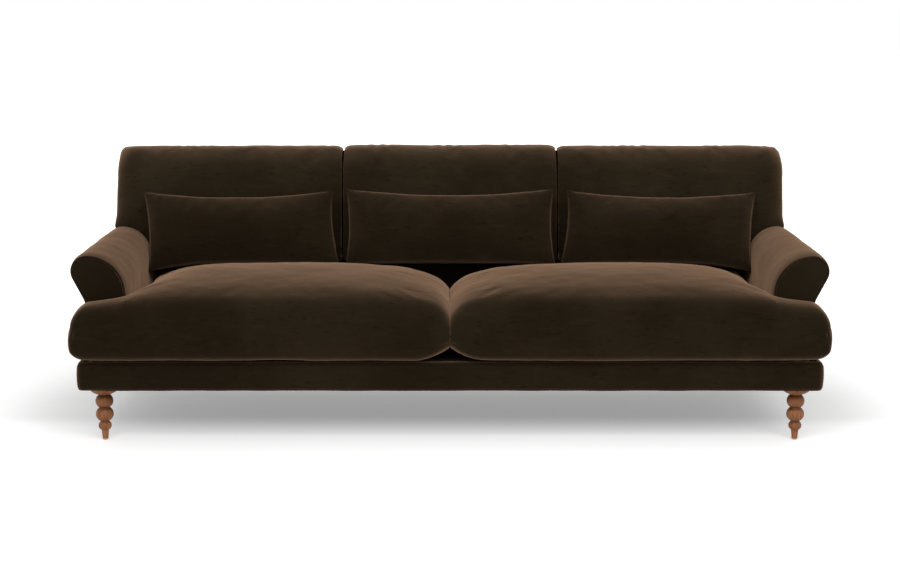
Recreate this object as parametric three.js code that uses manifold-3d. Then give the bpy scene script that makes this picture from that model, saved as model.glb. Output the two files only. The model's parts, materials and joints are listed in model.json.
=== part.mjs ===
// English roll arm sofa, upholstered in velvet, on turned bobbin legs.
// Two loose T-shaped seat cushions, three attached back cushions and three lumbar pillows
// sit on a timber frame with sinuous springs.
// Millimetres. X runs to the right seen from the front, -Y to the front and Z up from the floor.

import * as THREE from 'three';
import { mergeVertices } from 'three/addons/utils/BufferGeometryUtils.js';
import Module from 'manifold-3d';

const wasm = await Module();
wasm.setup();

// Clearances
const fit = 0.3;
const softFit = 2;
const seamFit = 0.5;

// Turned legs, from the floor up
const glideHeight = 5;
const glideRadius = 9.6;
const glideChamfer = 2;
const footHeight = 27;
const footTopRadius = 12.3;
const smallBeadHeight = 28;
const smallBeadRadius = 21;
const lowerNeckHeight = 3;
const lowerNeckRadius = 13;
const beadHeight = 42;
const beadRadius = 28.5;
const upperNeckHeight = 1;
const upperNeckRadius = 16.8;
const collarHeight = 2;
const collarRadius = 22;
const capHeight = 26;
const capBowlHeight = 22;
const capRadius = 47;
const legInset = 74;
const legSides = 16;
const boltRadius = 4;
const boltClearance = 0.5;

// Upholstered base
const baseHalfWidth = 1184;
const baseDepth = 890;
const baseHeight = 92;
const baseFrontY = -490;
const baseCornerRadius = 24;
const baseTopRounding = 18;
const baseBottomRounding = 10;
const baseWallThickness = 5;
const baseUnderlap = 1.8;
const baseEdgeRoll = 18;
const baseReturnDepth = 20;
const baseSideReturn = 110;

// Seat frame
const railThickness = 32;
const blockHeight = 54;
const stretcherHeight = 50;
const dustClothThickness = 1.5;
const springWireRadius = 1.9;
const springHalfWidth = 26;
const springPitch = 104;
const springFirstX = 170;
const springSideSetback = 156;
const springsPerSide = 3;
const springEndInset = 18;
const springWaveSquareness = 0.6;

// Arms
const armFrontY = -417;
const armInset = 158;
const armSplay = 20;
const rollCentreInset = 29;
const rollCentreHeight = 277;
const rollRadius = 56;
const rollEndAngle = 27;
const armOutsideInset = 19;
const armPadding = 12;
const armPanelInset = 7;
const armPanelThickness = 10;
const armPanelEdge = 3;
const armTurnFillet = 20;
const armLip = 45;
const weltRadius = 2.5;
const weltStandOff = 0.5;
const scrollBoardThickness = 20;
const scrollBoardSetback = 45;
const armTongueWidth = 81;
const armRailSize = 45;
const armSlatThickness = 18;
const armSlatHeight = 50;
const armSlatRise = 12;

// Back, leaning by the rake
const backRake = THREE.MathUtils.degToRad(12);
const backFootSetback = 73.7;
const backHeight = 544;
const backDepth = 82.5;
const backInset = 14;
const backCoverThickness = 6;
const backEdgeRounding = 16;
const backLiningThickness = 5;
const backPostDepth = 42;
const backPostWidth = 32;
const backRailHeight = 42;
const backRailRise = 20;
const backRailDepth = 32;

// Seat cushions
const seatFrontOverhang = 42;
const seatBulge = 6;
const wingOverhang = 26;
const wingRearClearance = 1;
const seatCrownHeight = 265;
const seatCrownY = -194;
const seatCrownRadius = 1250;
const seatFrontRounding = 40;
const seatFrontDrop = 38;
const seatFrontFall = 5;
const seatFrontFallReach = 90;
const wingEndRounding = 56;
const wingEndDrop = 54;
const wingFrontRounding = 58;
const wingSlope = 0.1;
const wingDip = 8.5;
const wingDipSpread = 30;
const wingRearRounding = 12;
const seatSideLevel = 168;
const seatSideFrontRise = 37;
const seatSideFade = 330;
const seatSideSpread = 97;
const seatFrontFade = 340;
const seamValleyDrop = 36;
const seamValleySpread = 32;
const seamValleyFrontGain = 0.6;
const seamShoulderDrop = 55;
const seamShoulderSpread = 145;
const seamShoulderFrontLoss = 0.85;
const seatRearRounding = 40;
const seatLowerRise = 8;
const seatLowerRiseReach = 75;
const seatLowerEdgeLift = 18;
const seatLowerEdgeReach = 26;
const wingLowerEdgeLift = 36;
const wingLowerEdgeReach = 50;
const seamLowerEdgeLift = 45;
const seamLowerEdgeReach = 105;
const seamLowerEdgeDepth = 320;
const seatPlanRounding = 20;
const seamPlanRounding = 5;

// Back cushions
const backSeamX = 382;
const backCushionInset = 3;
const backCushionDepth = 148;
const backCushionHeightAboveFrame = 57;
const backCushionCrown = 22;
const backCushionRounding = 12;
const backCushionCorner = 20;
const backCushionTopFall = 54;
const backCushionTopReach = 91;
const backCushionSideFall = 20;
const backCushionSideReach = 50;
const backCushionBulge = 6;
const backCushionSeatGap = 1.5;

// Lumbar pillows
const centrePillowHeight = 264;
const sidePillowHeight = 257;
const pillowThickness = 118;
const pillowLean = THREE.MathUtils.degToRad(22);
const pillowFootSetback = 212.3;
const pillowSidePinch = 9;
const pillowTopPinch = 19;
const pillowFullness = 0.55;
const centrePillowHalfWidth = 360;
const sidePillowHalfWidth = 322;
const sidePillowOffset = 22;
const sidePillowSlip = 19;
const sidePillowTilt = 5;

// Heights, widths and depths that follow from the sizes above
const legHeight = glideHeight + footHeight + smallBeadHeight + lowerNeckHeight + beadHeight
  + upperNeckHeight + beadHeight + collarHeight + capHeight;
const baseBottom = legHeight;
const deckTop = baseBottom + baseHeight;
const baseRearY = baseFrontY + baseDepth;
const railBottom = baseBottom + baseUnderlap + fit;
const railTop = deckTop - baseEdgeRoll;
const railOuterInset = baseWallThickness + fit;
const railInnerInset = railOuterInset + railThickness;
const seatFrontY = baseFrontY - seatFrontOverhang;
const backFootY = baseRearY - backFootSetback;
const backCushionHeight = backHeight + backCushionHeightAboveFrame;
const armInnerX = baseHalfWidth - armInset;
const rollCentreX = baseHalfWidth - rollCentreInset;
const armOutsideX = baseHalfWidth - armOutsideInset;
const wingEndX = baseHalfWidth + wingOverhang;
const backHalfWidth = baseHalfWidth - backInset;
const backCushionHalfWidth = baseHalfWidth - backCushionInset;
const sidePillowX = (backSeamX + armInnerX) / 2 + sidePillowOffset;
const pillowFootY = backFootY - pillowFootSetback;

// Colours as they look under plain light
const velvet = { color: 0x4b3b2c, roughness: 0.92, metalness: 0 };
const timber = { color: 0xb98f5e, roughness: 0.75, metalness: 0 };
const turnedWood = { color: 0x6f452b, roughness: 0.45, metalness: 0 };
const glideNylon = { color: 0xb59a78, roughness: 0.5, metalness: 0 };
const springSteel = { color: 0x6b6e72, roughness: 0.4, metalness: 0.9 };
const dustCloth = { color: 0x1b1b1c, roughness: 0.95, metalness: 0 };
const deckCloth = { color: 0x3a3027, roughness: 0.95, metalness: 0 };

const sofa = new THREE.Group();

// Adds one named piece to the sofa or to a group inside it
function addPiece(name, geometry, finish, parent = sofa) {
  const mesh = new THREE.Mesh(geometry, new THREE.MeshStandardMaterial(finish));
  mesh.name = name;
  parent.add(mesh);
  return mesh;
}

// Signed volume, used to turn a closed surface the right way out
function signedVolume(positions, triangles) {
  let volume = 0;
  for (let t = 0; t < triangles.length; t += 3) {
    const [a, b, c] = [0, 1, 2].map((k) => positions[triangles[t + k]]);
    volume += a[0] * (b[1] * c[2] - b[2] * c[1]);
    volume += a[1] * (b[2] * c[0] - b[0] * c[2]);
    volume += a[2] * (b[0] * c[1] - b[1] * c[0]);
  }
  return volume / 6;
}

// Makes a geometry from points and triangles, with its faces pointing out
function closedGeometry(positions, triangles) {
  const turned = signedVolume(positions, triangles) < 0;
  const index = turned ? triangles.slice().reverse() : triangles;
  const geometry = new THREE.BufferGeometry();
  geometry.setAttribute('position', new THREE.Float32BufferAttribute(positions.flat(), 3));
  geometry.setIndex(index);
  return geometry;
}

// Joins rings of points, all with as many points as the flat outline that closes both ends
function loft(rings, outline) {
  const count = outline.length;
  const positions = rings.flat();
  const triangles = [];
  for (let r = 0; r + 1 < rings.length; r += 1) {
    for (let k = 0; k < count; k += 1) {
      const next = (k + 1) % count;
      const a = r * count + k;
      const b = r * count + next;
      const c = (r + 1) * count + next;
      const d = (r + 1) * count + k;
      triangles.push(a, b, c, a, c, d);
    }
  }
  const contour = outline.map(([u, v]) => new THREE.Vector2(u, v));
  const last = (rings.length - 1) * count;
  const counterClockwise = !THREE.ShapeUtils.isClockWise(contour);
  for (const [a, b, c] of THREE.ShapeUtils.triangulateShape(contour, [])) {
    if (counterClockwise) {
      triangles.push(c, b, a, last + a, last + b, last + c);
    } else {
      triangles.push(a, b, c, last + c, last + b, last + a);
    }
  }
  return closedGeometry(positions, triangles);
}

// A rectangular timber or sheet between two corners
function block(x0, x1, y0, y1, z0, z1) {
  const geometry = new THREE.BoxGeometry(x1 - x0, y1 - y0, z1 - z0);
  geometry.translate((x0 + x1) / 2, (y0 + y1) / 2, (z0 + z1) / 2);
  return geometry;
}

// A plan outline carried straight up from z0 to z1
function uprightPrism(outline, z0, z1) {
  return loft([z0, z1].map((z) => outline.map(([x, y]) => [x, y, z])), outline);
}

// An outline of x and z carried straight back from y0 to y1
function deepPrism(outline, y0, y1) {
  return loft([y0, y1].map((y) => outline.map(([x, z]) => [x, y, z])), outline);
}

// A closed geometry as a solid for cutting
function solidOf(geometry) {
  const bare = geometry.clone();
  bare.deleteAttribute('normal');
  bare.deleteAttribute('uv');
  const merged = mergeVertices(bare, 1e-4);
  return new wasm.Manifold(new wasm.Mesh({
    numProp: 3,
    vertProperties: new Float32Array(merged.attributes.position.array),
    triVerts: new Uint32Array(merged.index.array),
  }));
}

// A cut solid as a geometry again
function geometryOf(solid) {
  const mesh = solid.getMesh();
  const geometry = new THREE.BufferGeometry();
  geometry.setAttribute('position', new THREE.BufferAttribute(new Float32Array(mesh.vertProperties), 3));
  geometry.setIndex(new THREE.BufferAttribute(new Uint32Array(mesh.triVerts), 1));
  return geometry;
}

// The first geometry with the others cut away
function cut(geometry, ...tools) {
  let solid = solidOf(geometry);
  for (const tool of tools) {
    solid = solid.subtract(solidOf(tool));
  }
  return geometryOf(solid);
}

// A quarter ellipse that rises from 0 at an edge to 1 at the given distance from it
function quarterRound(distance, reach) {
  const q = Math.min(1, Math.max(0, 1 - distance / reach));
  return Math.sqrt(1 - q * q);
}

// Numbers from a to b in even steps
function evenly(a, b, steps) {
  return Array.from({ length: steps + 1 }, (_, k) => a + ((b - a) * k) / steps);
}

// Points of a circle arc, with angles in degrees
function arcPoints(cx, cy, radius, from, to, steps) {
  return evenly(from, to, steps).map((degrees) => {
    const angle = THREE.MathUtils.degToRad(degrees);
    return [cx + radius * Math.cos(angle), cy + radius * Math.sin(angle)];
  });
}

// Turned legs

// One bead of the turning: an ellipse between two equal necks
function beadProfile(bottom, height, radius, neck, steps) {
  const half = height / 2;
  const reach = half / Math.sqrt(1 - (neck / radius) ** 2);
  return evenly(-half, half, steps).map((z) => [
    radius * Math.sqrt(1 - (z / reach) ** 2),
    bottom + half + z,
  ]);
}

// The whole turning, topped by the hanger bolt that holds it in its corner block
function legProfile() {
  const footTop = glideHeight + footHeight;
  const middleBottom = footTop + smallBeadHeight + lowerNeckHeight;
  const upperBottom = middleBottom + beadHeight + upperNeckHeight;
  const collarBottom = upperBottom + beadHeight;
  const capBottom = collarBottom + collarHeight;
  const top = legHeight - fit;
  const boltTop = railBottom + blockHeight;
  const bowlStart = Math.acos(collarRadius / capRadius);
  const bowl = evenly(bowlStart, 0, 4).map((angle) => [
    capRadius * Math.cos(angle),
    capBottom + capBowlHeight * (1 - Math.sin(angle) / Math.sin(bowlStart)),
  ]);
  return [
    [0, glideHeight + fit],
    [glideRadius, glideHeight + fit],
    [footTopRadius, footTop],
    ...beadProfile(footTop, smallBeadHeight, smallBeadRadius, lowerNeckRadius, 5),
    ...beadProfile(middleBottom, beadHeight, beadRadius, upperNeckRadius, 6),
    ...beadProfile(upperBottom, beadHeight, beadRadius, upperNeckRadius, 6),
    ...bowl,
    [capRadius, top],
    [boltRadius, top],
    [boltRadius, boltTop],
    [0, boltTop],
  ];
}

// A profile of radius and height turned about the vertical axis
function turned(profile, sides) {
  const geometry = new THREE.LatheGeometry(profile.map(([r, z]) => new THREE.Vector2(r, z)), sides);
  geometry.rotateX(Math.PI / 2);
  return geometryOf(solidOf(geometry));
}

const legX = baseHalfWidth - legInset;
const legFrontY = baseFrontY + legInset;
const legRearY = baseRearY - legInset;
const legPlaces = [
  ['front_left', -legX, legFrontY],
  ['front_right', legX, legFrontY],
  ['rear_left', -legX, legRearY],
  ['rear_right', legX, legRearY],
];

for (const [place, x, y] of legPlaces) {
  const leg = new THREE.Group();
  leg.position.set(x, y, 0);
  sofa.add(leg);
  addPiece(`leg_${place}`, turned(legProfile(), legSides), turnedWood, leg);
  const glide = [
    [0, 0],
    [glideRadius - glideChamfer, 0],
    [glideRadius, glideChamfer],
    [glideRadius, glideHeight],
    [0, glideHeight],
  ];
  addPiece(`leg_glide_${place}`, turned(glide, legSides), glideNylon, leg);
}

// Seat frame: rails, corner blocks, stretcher and springs

const frontRailFaceY = baseFrontY + railOuterInset;
const rearRailFaceY = baseRearY - railOuterInset;
const sideRailInnerX = baseHalfWidth - railInnerInset;
const crossRailHalf = baseHalfWidth - railOuterInset;

// A front or rear rail, with its two outer corners cut off inside the rounded cover
function crossRail(faceY, inward) {
  const backY = faceY + inward * railThickness;
  const shoulder = faceY + inward * (baseCornerRadius - railOuterInset);
  const square = baseHalfWidth - baseCornerRadius;
  const outline = [
    [-crossRailHalf, backY],
    [-crossRailHalf, shoulder],
    [-square, faceY],
    [square, faceY],
    [crossRailHalf, shoulder],
    [crossRailHalf, backY],
  ];
  return uprightPrism(outline, railBottom, railTop);
}

addPiece('front_rail', crossRail(frontRailFaceY, 1), timber);
addPiece('rear_rail', crossRail(rearRailFaceY, -1), timber);

const railSpanFront = frontRailFaceY + railThickness + fit;
const railSpanRear = rearRailFaceY - railThickness - fit;

// The arm's front board stands just behind the front corner block, and the rear one mirrors it
const panelBackY = armFrontY + armPanelThickness;
const armCoverFrontY = panelBackY + fit;
const frontBoardY = armCoverFrontY + scrollBoardSetback;
const blockLeg = frontBoardY - fit - railSpanFront;
const rearBoardY = railSpanRear - blockLeg - fit - scrollBoardThickness;

for (const [side, sign] of [['left', -1], ['right', 1]]) {
  const outer = sign * (baseHalfWidth - railOuterInset);
  const inner = sign * sideRailInnerX;
  const rail = block(Math.min(outer, inner), Math.max(outer, inner), railSpanFront, railSpanRear,
    railBottom, railTop);
  addPiece(`side_rail_${side}`, rail, timber);
}

addPiece('centre_stretcher', block(-railThickness / 2, railThickness / 2, railSpanFront, railSpanRear,
  railBottom, railBottom + stretcherHeight), timber);

for (const [place, x, y] of legPlaces) {
  const sx = Math.sign(x);
  const inward = y < 0 ? 1 : -1;
  const cornerX = sx * (sideRailInnerX - fit);
  const cornerY = inward > 0 ? railSpanFront : railSpanRear;
  const outline = [
    [cornerX, cornerY],
    [cornerX - sx * blockLeg, cornerY],
    [cornerX, cornerY + inward * blockLeg],
  ];
  const hole = new THREE.CylinderGeometry(boltRadius + boltClearance, boltRadius + boltClearance,
    2 * legHeight, 12);
  hole.rotateX(Math.PI / 2);
  hole.translate(x, y, legHeight);
  const corner = uprightPrism(outline, railBottom, railBottom + blockHeight);
  addPiece(`corner_block_${place}`, cut(corner, hole), timber);
}

// One sinuous spring: a flat wave of wire from the front rail to the rear rail
function sinuousSpring(x) {
  const z = railTop + fit + springWireRadius;
  const startY = frontRailFaceY + springEndInset;
  const endY = rearRailFaceY - springEndInset;
  const waves = Math.round((endY - startY) / springPitch);
  const points = evenly(0, 1, waves * 6).map((t) => {
    const wave = Math.sin(2 * Math.PI * waves * t);
    const across = springHalfWidth * Math.sign(wave) * Math.abs(wave) ** springWaveSquareness;
    return [x + across, startY + (endY - startY) * t, z];
  });
  const rings = points.map((point, k) => {
    const before = points[Math.max(0, k - 1)];
    const after = points[Math.min(points.length - 1, k + 1)];
    const heading = Math.atan2(after[1] - before[1], after[0] - before[0]);
    return [0, 90, 180, 270].map((degrees) => {
      const angle = THREE.MathUtils.degToRad(degrees);
      const sideways = springWireRadius * Math.cos(angle);
      return [
        point[0] - sideways * Math.sin(heading),
        point[1] + sideways * Math.cos(heading),
        point[2] + springWireRadius * Math.sin(angle),
      ];
    });
  });
  return loft(rings, arcPoints(0, 0, springWireRadius, 0, 270, 3));
}

for (const [side, sign] of [['left', -1], ['right', 1]]) {
  evenly(springFirstX, armInnerX - springSideSetback, springsPerSide - 1).forEach((x, k) => {
    addPiece(`seat_spring_${side}_${k + 1}`, sinuousSpring(sign * x), springSteel);
  });
}

// The padded platform over the springs, and the dust cloth under the frame
const deckBottom = railTop + 2 * fit + 2 * springWireRadius;
const deckFrontY = baseFrontY + baseReturnDepth + fit;
const deckRearY = backFootY - softFit;
const deckHalfWidth = armInnerX - softFit;
addPiece('seat_deck', block(-deckHalfWidth, deckHalfWidth, deckFrontY, deckRearY, deckBottom,
  deckTop - fit), deckCloth);

// The base's plan drawn in by a distance less than its corner radius
function basePlan(inset) {
  const x = baseHalfWidth - baseCornerRadius;
  const radius = baseCornerRadius - inset;
  const front = baseFrontY + baseCornerRadius;
  const rear = baseRearY - baseCornerRadius;
  return [
    ...arcPoints(-x, front, radius, 180, 270, 4),
    ...arcPoints(x, front, radius, 270, 360, 4),
    ...arcPoints(x, rear, radius, 0, 90, 4),
    ...arcPoints(-x, rear, radius, 90, 180, 4),
  ];
}

const dustSheet = uprightPrism(basePlan(baseReturnDepth + fit), baseBottom, baseBottom + dustClothThickness);
const dustHoles = legPlaces.map(([, x, y]) => {
  const hole = new THREE.CylinderGeometry(boltRadius + boltClearance, boltRadius + boltClearance,
    legHeight / 2, 12);
  hole.rotateX(Math.PI / 2);
  hole.translate(x, y, legHeight);
  return hole;
});
addPiece('dust_cover', cut(dustSheet, ...dustHoles), dustCloth);

// Base cover: one padded section carried round the frame

// The section: distance in from the outer face, and height above the base's bottom
function baseSection() {
  const outer = [
    [baseReturnDepth, 0],
    ...arcPoints(baseBottomRounding, baseBottomRounding, baseBottomRounding, 270, 180, 3),
    ...arcPoints(baseTopRounding, baseHeight - baseTopRounding, baseTopRounding, 180, 90, 4),
    [baseReturnDepth, baseHeight],
  ];
  const inner = [
    [baseReturnDepth, baseHeight - baseEdgeRoll + fit],
    [baseWallThickness, baseHeight - baseEdgeRoll + fit],
    [baseWallThickness, baseUnderlap],
    [baseReturnDepth, baseUnderlap],
  ];
  return [...outer, ...inner];
}

// Carries the section past stations, each a point of the outer face and its outward direction
function baseCover(stations) {
  const section = baseSection();
  const rings = stations.map(([x, y, nx, ny]) => section.map(([depth, height]) => [
    x - nx * depth,
    y - ny * depth,
    baseBottom + height,
  ]));
  return loft(rings, section);
}

// Stations round one corner, from one direction in degrees to another
function cornerStations(cx, cy, from, to) {
  return evenly(from, to, 5).map((degrees) => {
    const angle = THREE.MathUtils.degToRad(degrees);
    const [nx, ny] = [Math.cos(angle), Math.sin(angle)];
    return [cx + baseCornerRadius * nx, cy + baseCornerRadius * ny, nx, ny];
  });
}

const cornerX = baseHalfWidth - baseCornerRadius;
const frontCornerY = baseFrontY + baseCornerRadius;
const rearCornerY = baseRearY - baseCornerRadius;
const frontReturnY = baseFrontY + baseSideReturn;
const rearReturnY = baseRearY - baseSideReturn;

addPiece('base_cover_front', baseCover([
  [-baseHalfWidth, frontReturnY, -1, 0],
  ...cornerStations(-cornerX, frontCornerY, 180, 270),
  ...cornerStations(cornerX, frontCornerY, 270, 360),
  [baseHalfWidth, frontReturnY, 1, 0],
]), velvet);
addPiece('base_cover_rear', baseCover([
  [baseHalfWidth, rearReturnY, 1, 0],
  ...cornerStations(cornerX, rearCornerY, 0, 90),
  ...cornerStations(-cornerX, rearCornerY, 90, 180),
  [-baseHalfWidth, rearReturnY, -1, 0],
]), velvet);
for (const [side, sign] of [['left', -1], ['right', 1]]) {
  addPiece(`base_cover_${side}`, baseCover([
    [sign * baseHalfWidth, frontReturnY + fit, sign, 0],
    [sign * baseHalfWidth, rearReturnY - fit, sign, 0],
  ]), velvet);
}

// Back plane, which leans away from the seat
const backSin = Math.sin(backRake);
const backCos = Math.cos(backRake);

// A point of the leaning back: x, distance behind its front face, and distance up its face
function backPoint(x, depth, up) {
  return [x, backFootY + depth * backCos + up * backSin, deckTop - depth * backSin + up * backCos];
}

// A leaning bar between two x, two depths behind the face and two distances up it
function backBar(x0, x1, depth0, depth1, up0, up1) {
  const section = [[depth0, up0], [depth1, up0], [depth1, up1], [depth0, up1]];
  const rings = [x0, x1].map((x) => section.map(([depth, up]) => backPoint(x, depth, up)));
  return loft(rings, section);
}

// Everything behind a plane parallel to the back's face and the given distance in front of it
function behindBack(ahead) {
  const [half, deep, tall] = [baseHalfWidth, baseDepth, backHeight].map((size) => 2 * size);
  return backBar(-half, half, -ahead, deep, -tall, tall);
}

// Arms

// The arm's section as x and z for the right side: up the inner face, over the roll, under its
// outer turn and down the outside panel to the foot. The splay moves the inner face outwards.
function armOutline(inset, splay = 0, footZ = deckTop + fit) {
  const inner = armInnerX + inset + splay;
  const outside = armOutsideX - inset;
  const radius = rollRadius - inset;
  const rollZ = deckTop + rollCentreHeight;
  const shoulderRadius = rollCentreX - inner;
  const shoulderZ = rollZ + radius - shoulderRadius;
  const end = THREE.MathUtils.degToRad(rollEndAngle);
  const endX = rollCentreX + radius * Math.cos(end);
  const endZ = rollZ - radius * Math.sin(end);
  const turnZ = endZ - ((endX - outside) * Math.cos(end)) / Math.sin(end);
  const turn = new THREE.QuadraticBezierCurve(
    new THREE.Vector2(outside + armTurnFillet * Math.sin(end), turnZ + armTurnFillet * Math.cos(end)),
    new THREE.Vector2(outside, turnZ),
    new THREE.Vector2(outside, turnZ - armTurnFillet),
  );
  return [
    [inner, footZ],
    ...arcPoints(rollCentreX, shoulderZ, shoulderRadius, 180, 90, 9),
    ...arcPoints(rollCentreX, rollZ, radius, 90, -rollEndAngle, 11).slice(1),
    ...turn.getPoints(3).map((p) => [p.x, p.y]),
    [outside, footZ],
  ];
}

// How far the inner face has moved outwards at a depth
function armSplayAt(y) {
  return (armSplay * (y - armCoverFrontY)) / (backFootY - armCoverFrontY);
}

// The padded cover: a shell open at its front and foot, closed where it meets the back
function armCover(sign) {
  const ring = (y, inset, footZ) => armOutline(inset, armSplayAt(y), footZ).map(([x, z]) => (
    [sign * x, y, z]
  ));
  const behind = baseRearY;
  const outer = loft([
    ring(armCoverFrontY, armPanelInset),
    ring(armCoverFrontY + armLip / 3, (4 / 9) * armPanelInset),
    ring(armCoverFrontY + armLip, 0),
    ring(behind, 0),
  ], armOutline(0));
  const below = deckTop - armPadding;
  const hollow = loft([
    ring(armCoverFrontY - armLip, armPadding, below),
    ring(behind, armPadding, below),
  ], armOutline(armPadding, 0, below));
  return cut(outer, behindBack(fit), cut(hollow, behindBack(fit + armPadding)));
}

// The flat front panel, with its edge eased
function armPanel(sign) {
  const rings = [
    [panelBackY, 0],
    [armFrontY + armPanelEdge, 0],
    [armFrontY, armPanelEdge],
  ].map(([y, more]) => armOutline(armPanelInset + more).map(([x, z]) => [sign * x, y, z]));
  return loft(rings, armOutline(armPanelInset));
}

// The welt cord that follows the panel's edge up, over the roll and down
function armWelt(sign) {
  const path = armOutline(armPanelInset - weltRadius - fit).slice(0, -1);
  path.push([armOutsideX - armPanelInset + weltRadius + fit, deckTop + fit]);
  const y = armCoverFrontY - fit - weltRadius - weltStandOff;
  const rings = path.map(([x, z], k) => {
    const before = path[Math.max(0, k - 1)];
    const after = path[Math.min(path.length - 1, k + 1)];
    const heading = Math.atan2(after[1] - before[1], after[0] - before[0]);
    return arcPoints(0, 0, weltRadius, 0, 300, 5).map(([across, deep]) => [
      sign * (x - across * Math.sin(heading)),
      y + deep,
      z + across * Math.cos(heading),
    ]);
  });
  return loft(rings, arcPoints(0, 0, weltRadius, 0, 300, 5));
}

// A scroll board: the arm's section inside its padding, with a tongue down beside the side rail
function scrollBoard(sign, y) {
  const splay = armSplayAt(y + scrollBoardThickness);
  const tongueOuter = sideRailInnerX - fit;
  const head = armOutline(armPadding + fit, splay, deckTop + 2 * fit);
  const outline = [
    [tongueOuter - armTongueWidth, railBottom],
    [tongueOuter - armTongueWidth, deckTop + 2 * fit],
    ...head,
    [tongueOuter, deckTop + 2 * fit],
    [tongueOuter, railBottom],
  ].map(([x, z]) => [sign * x, z]);
  return deepPrism(outline, y, y + scrollBoardThickness);
}

for (const [side, sign] of [['left', -1], ['right', 1]]) {
  addPiece(`arm_cover_${side}`, armCover(sign), velvet);
  addPiece(`arm_front_panel_${side}`, armPanel(sign), velvet);
  addPiece(`arm_front_welt_${side}`, armWelt(sign), velvet);
  addPiece(`arm_front_board_${side}`, scrollBoard(sign, frontBoardY), timber);
  addPiece(`arm_rear_board_${side}`, scrollBoard(sign, rearBoardY), timber);
  const spanFront = frontBoardY + scrollBoardThickness + fit;
  const spanRear = rearBoardY - fit;
  const railZ = deckTop + rollCentreHeight - armRailSize / 2;
  const rail = block(-armRailSize / 2, armRailSize / 2, spanFront, spanRear, railZ, railZ + armRailSize);
  rail.translate(sign * rollCentreX, 0, 0);
  addPiece(`arm_top_rail_${side}`, rail, timber);
  const slatZ = deckTop + armSlatRise;
  const slat = block(-armSlatThickness / 2, armSlatThickness / 2, spanFront, spanRear, slatZ,
    slatZ + armSlatHeight);
  const slatX = armInnerX + armSplay + armPadding + fit + armSlatThickness / 2;
  slat.translate(sign * slatX, 0, 0);
  addPiece(`arm_slat_${side}`, slat, timber);
}

// Back frame and its covers

const belowBack = block(-2 * baseHalfWidth, 2 * baseHalfWidth, 0, 2 * baseDepth, -legHeight, railTop + fit);
const belowCover = block(-2 * baseHalfWidth, 2 * baseHalfWidth, 0, 2 * baseDepth, -legHeight, deckTop + fit);
const frameDepth = backLiningThickness + fit;
const coverInnerHalf = backHalfWidth - backCoverThickness;
const coverInnerTop = backHeight - backCoverThickness;
const postOuterX = Math.min(coverInnerHalf - fit, baseHalfWidth - baseCornerRadius);

// The outside cover: back, sides and top in one shell, open to the front and below
function backCover() {
  const deep = backDepth;
  const outline = [
    [-backHalfWidth, 0],
    [backHalfWidth, 0],
    ...arcPoints(backHalfWidth - backEdgeRounding, deep - backEdgeRounding, backEdgeRounding, 0, 90, 4),
    ...arcPoints(-backHalfWidth + backEdgeRounding, deep - backEdgeRounding, backEdgeRounding, 90, 180, 4),
  ];
  const start = -deep;
  const stations = [
    [start, 0],
    [backHeight - backEdgeRounding, 0],
    ...evenly(67.5, 0, 3).map((degrees) => {
      const angle = THREE.MathUtils.degToRad(degrees);
      return [
        backHeight - backEdgeRounding * (1 - Math.cos(angle)),
        backEdgeRounding * (1 - Math.sin(angle)),
      ];
    }),
  ];
  const rings = stations.map(([up, inset]) => outline.map(([x, depth]) => {
    const across = x - (Math.sign(x) * inset * Math.abs(x)) / backHalfWidth;
    return backPoint(across, depth - (inset * depth) / deep, up);
  }));
  const hollow = backBar(-coverInnerHalf, coverInnerHalf, -deep, deep - backCoverThickness, 2 * start,
    coverInnerTop);
  return cut(loft(rings, outline), hollow, belowCover);
}

addPiece('back_cover', backCover(), velvet);

const liningHalf = coverInnerHalf - fit;
const lining = backBar(-liningHalf, liningHalf, 0, backLiningThickness, -backDepth, coverInnerTop - fit);
addPiece('back_lining', cut(lining, belowCover), deckCloth);

for (const [side, sign] of [['left', -1], ['right', 1]]) {
  const outer = sign * postOuterX;
  const inner = outer - sign * backPostWidth;
  const post = backBar(Math.min(outer, inner), Math.max(outer, inner), frameDepth, frameDepth + backPostDepth,
    -backDepth, coverInnerTop - fit);
  addPiece(`back_post_${side}`, cut(post, belowBack), timber);
}

const backRailHalf = postOuterX - fit - backPostWidth;
const topRailBottom = coverInnerTop - fit - backRailHeight;
addPiece('back_top_rail', backBar(-backRailHalf, backRailHalf, frameDepth, frameDepth + backRailDepth,
  topRailBottom, coverInnerTop - fit), timber);
addPiece('back_bottom_rail', backBar(-backRailHalf, backRailHalf, frameDepth, frameDepth + backRailDepth,
  backRailRise, backRailRise + backRailHeight), timber);
for (const [side, sign] of [['left', -1], ['right', 1]]) {
  const x = sign * backSeamX;
  addPiece(`back_upright_${side}`, backBar(x - backPostWidth / 2, x + backPostWidth / 2, frameDepth,
    frameDepth + backRailDepth, backRailRise + backRailHeight + fit, topRailBottom - fit), timber);
}

// Cushions

// Draws the square corner of a plan in to a round one. A corner is its point, the directions
// from it into the plan, and its radius.
function roundCorner([x, y], [cx, cy, dx, dy, radius]) {
  const a = 1 - Math.min(1, ((x - cx) * dx) / radius);
  const b = 1 - Math.min(1, ((y - cy) * dy) / radius);
  if (a <= 0 || b <= 0 || a > 1 || b > 1) {
    return [x, y];
  }
  const u = a * Math.sqrt(1 - (b * b) / 2);
  const v = b * Math.sqrt(1 - (a * a) / 2);
  return [cx + dx * radius * (1 - u), cy + dy * radius * (1 - v)];
}

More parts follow.
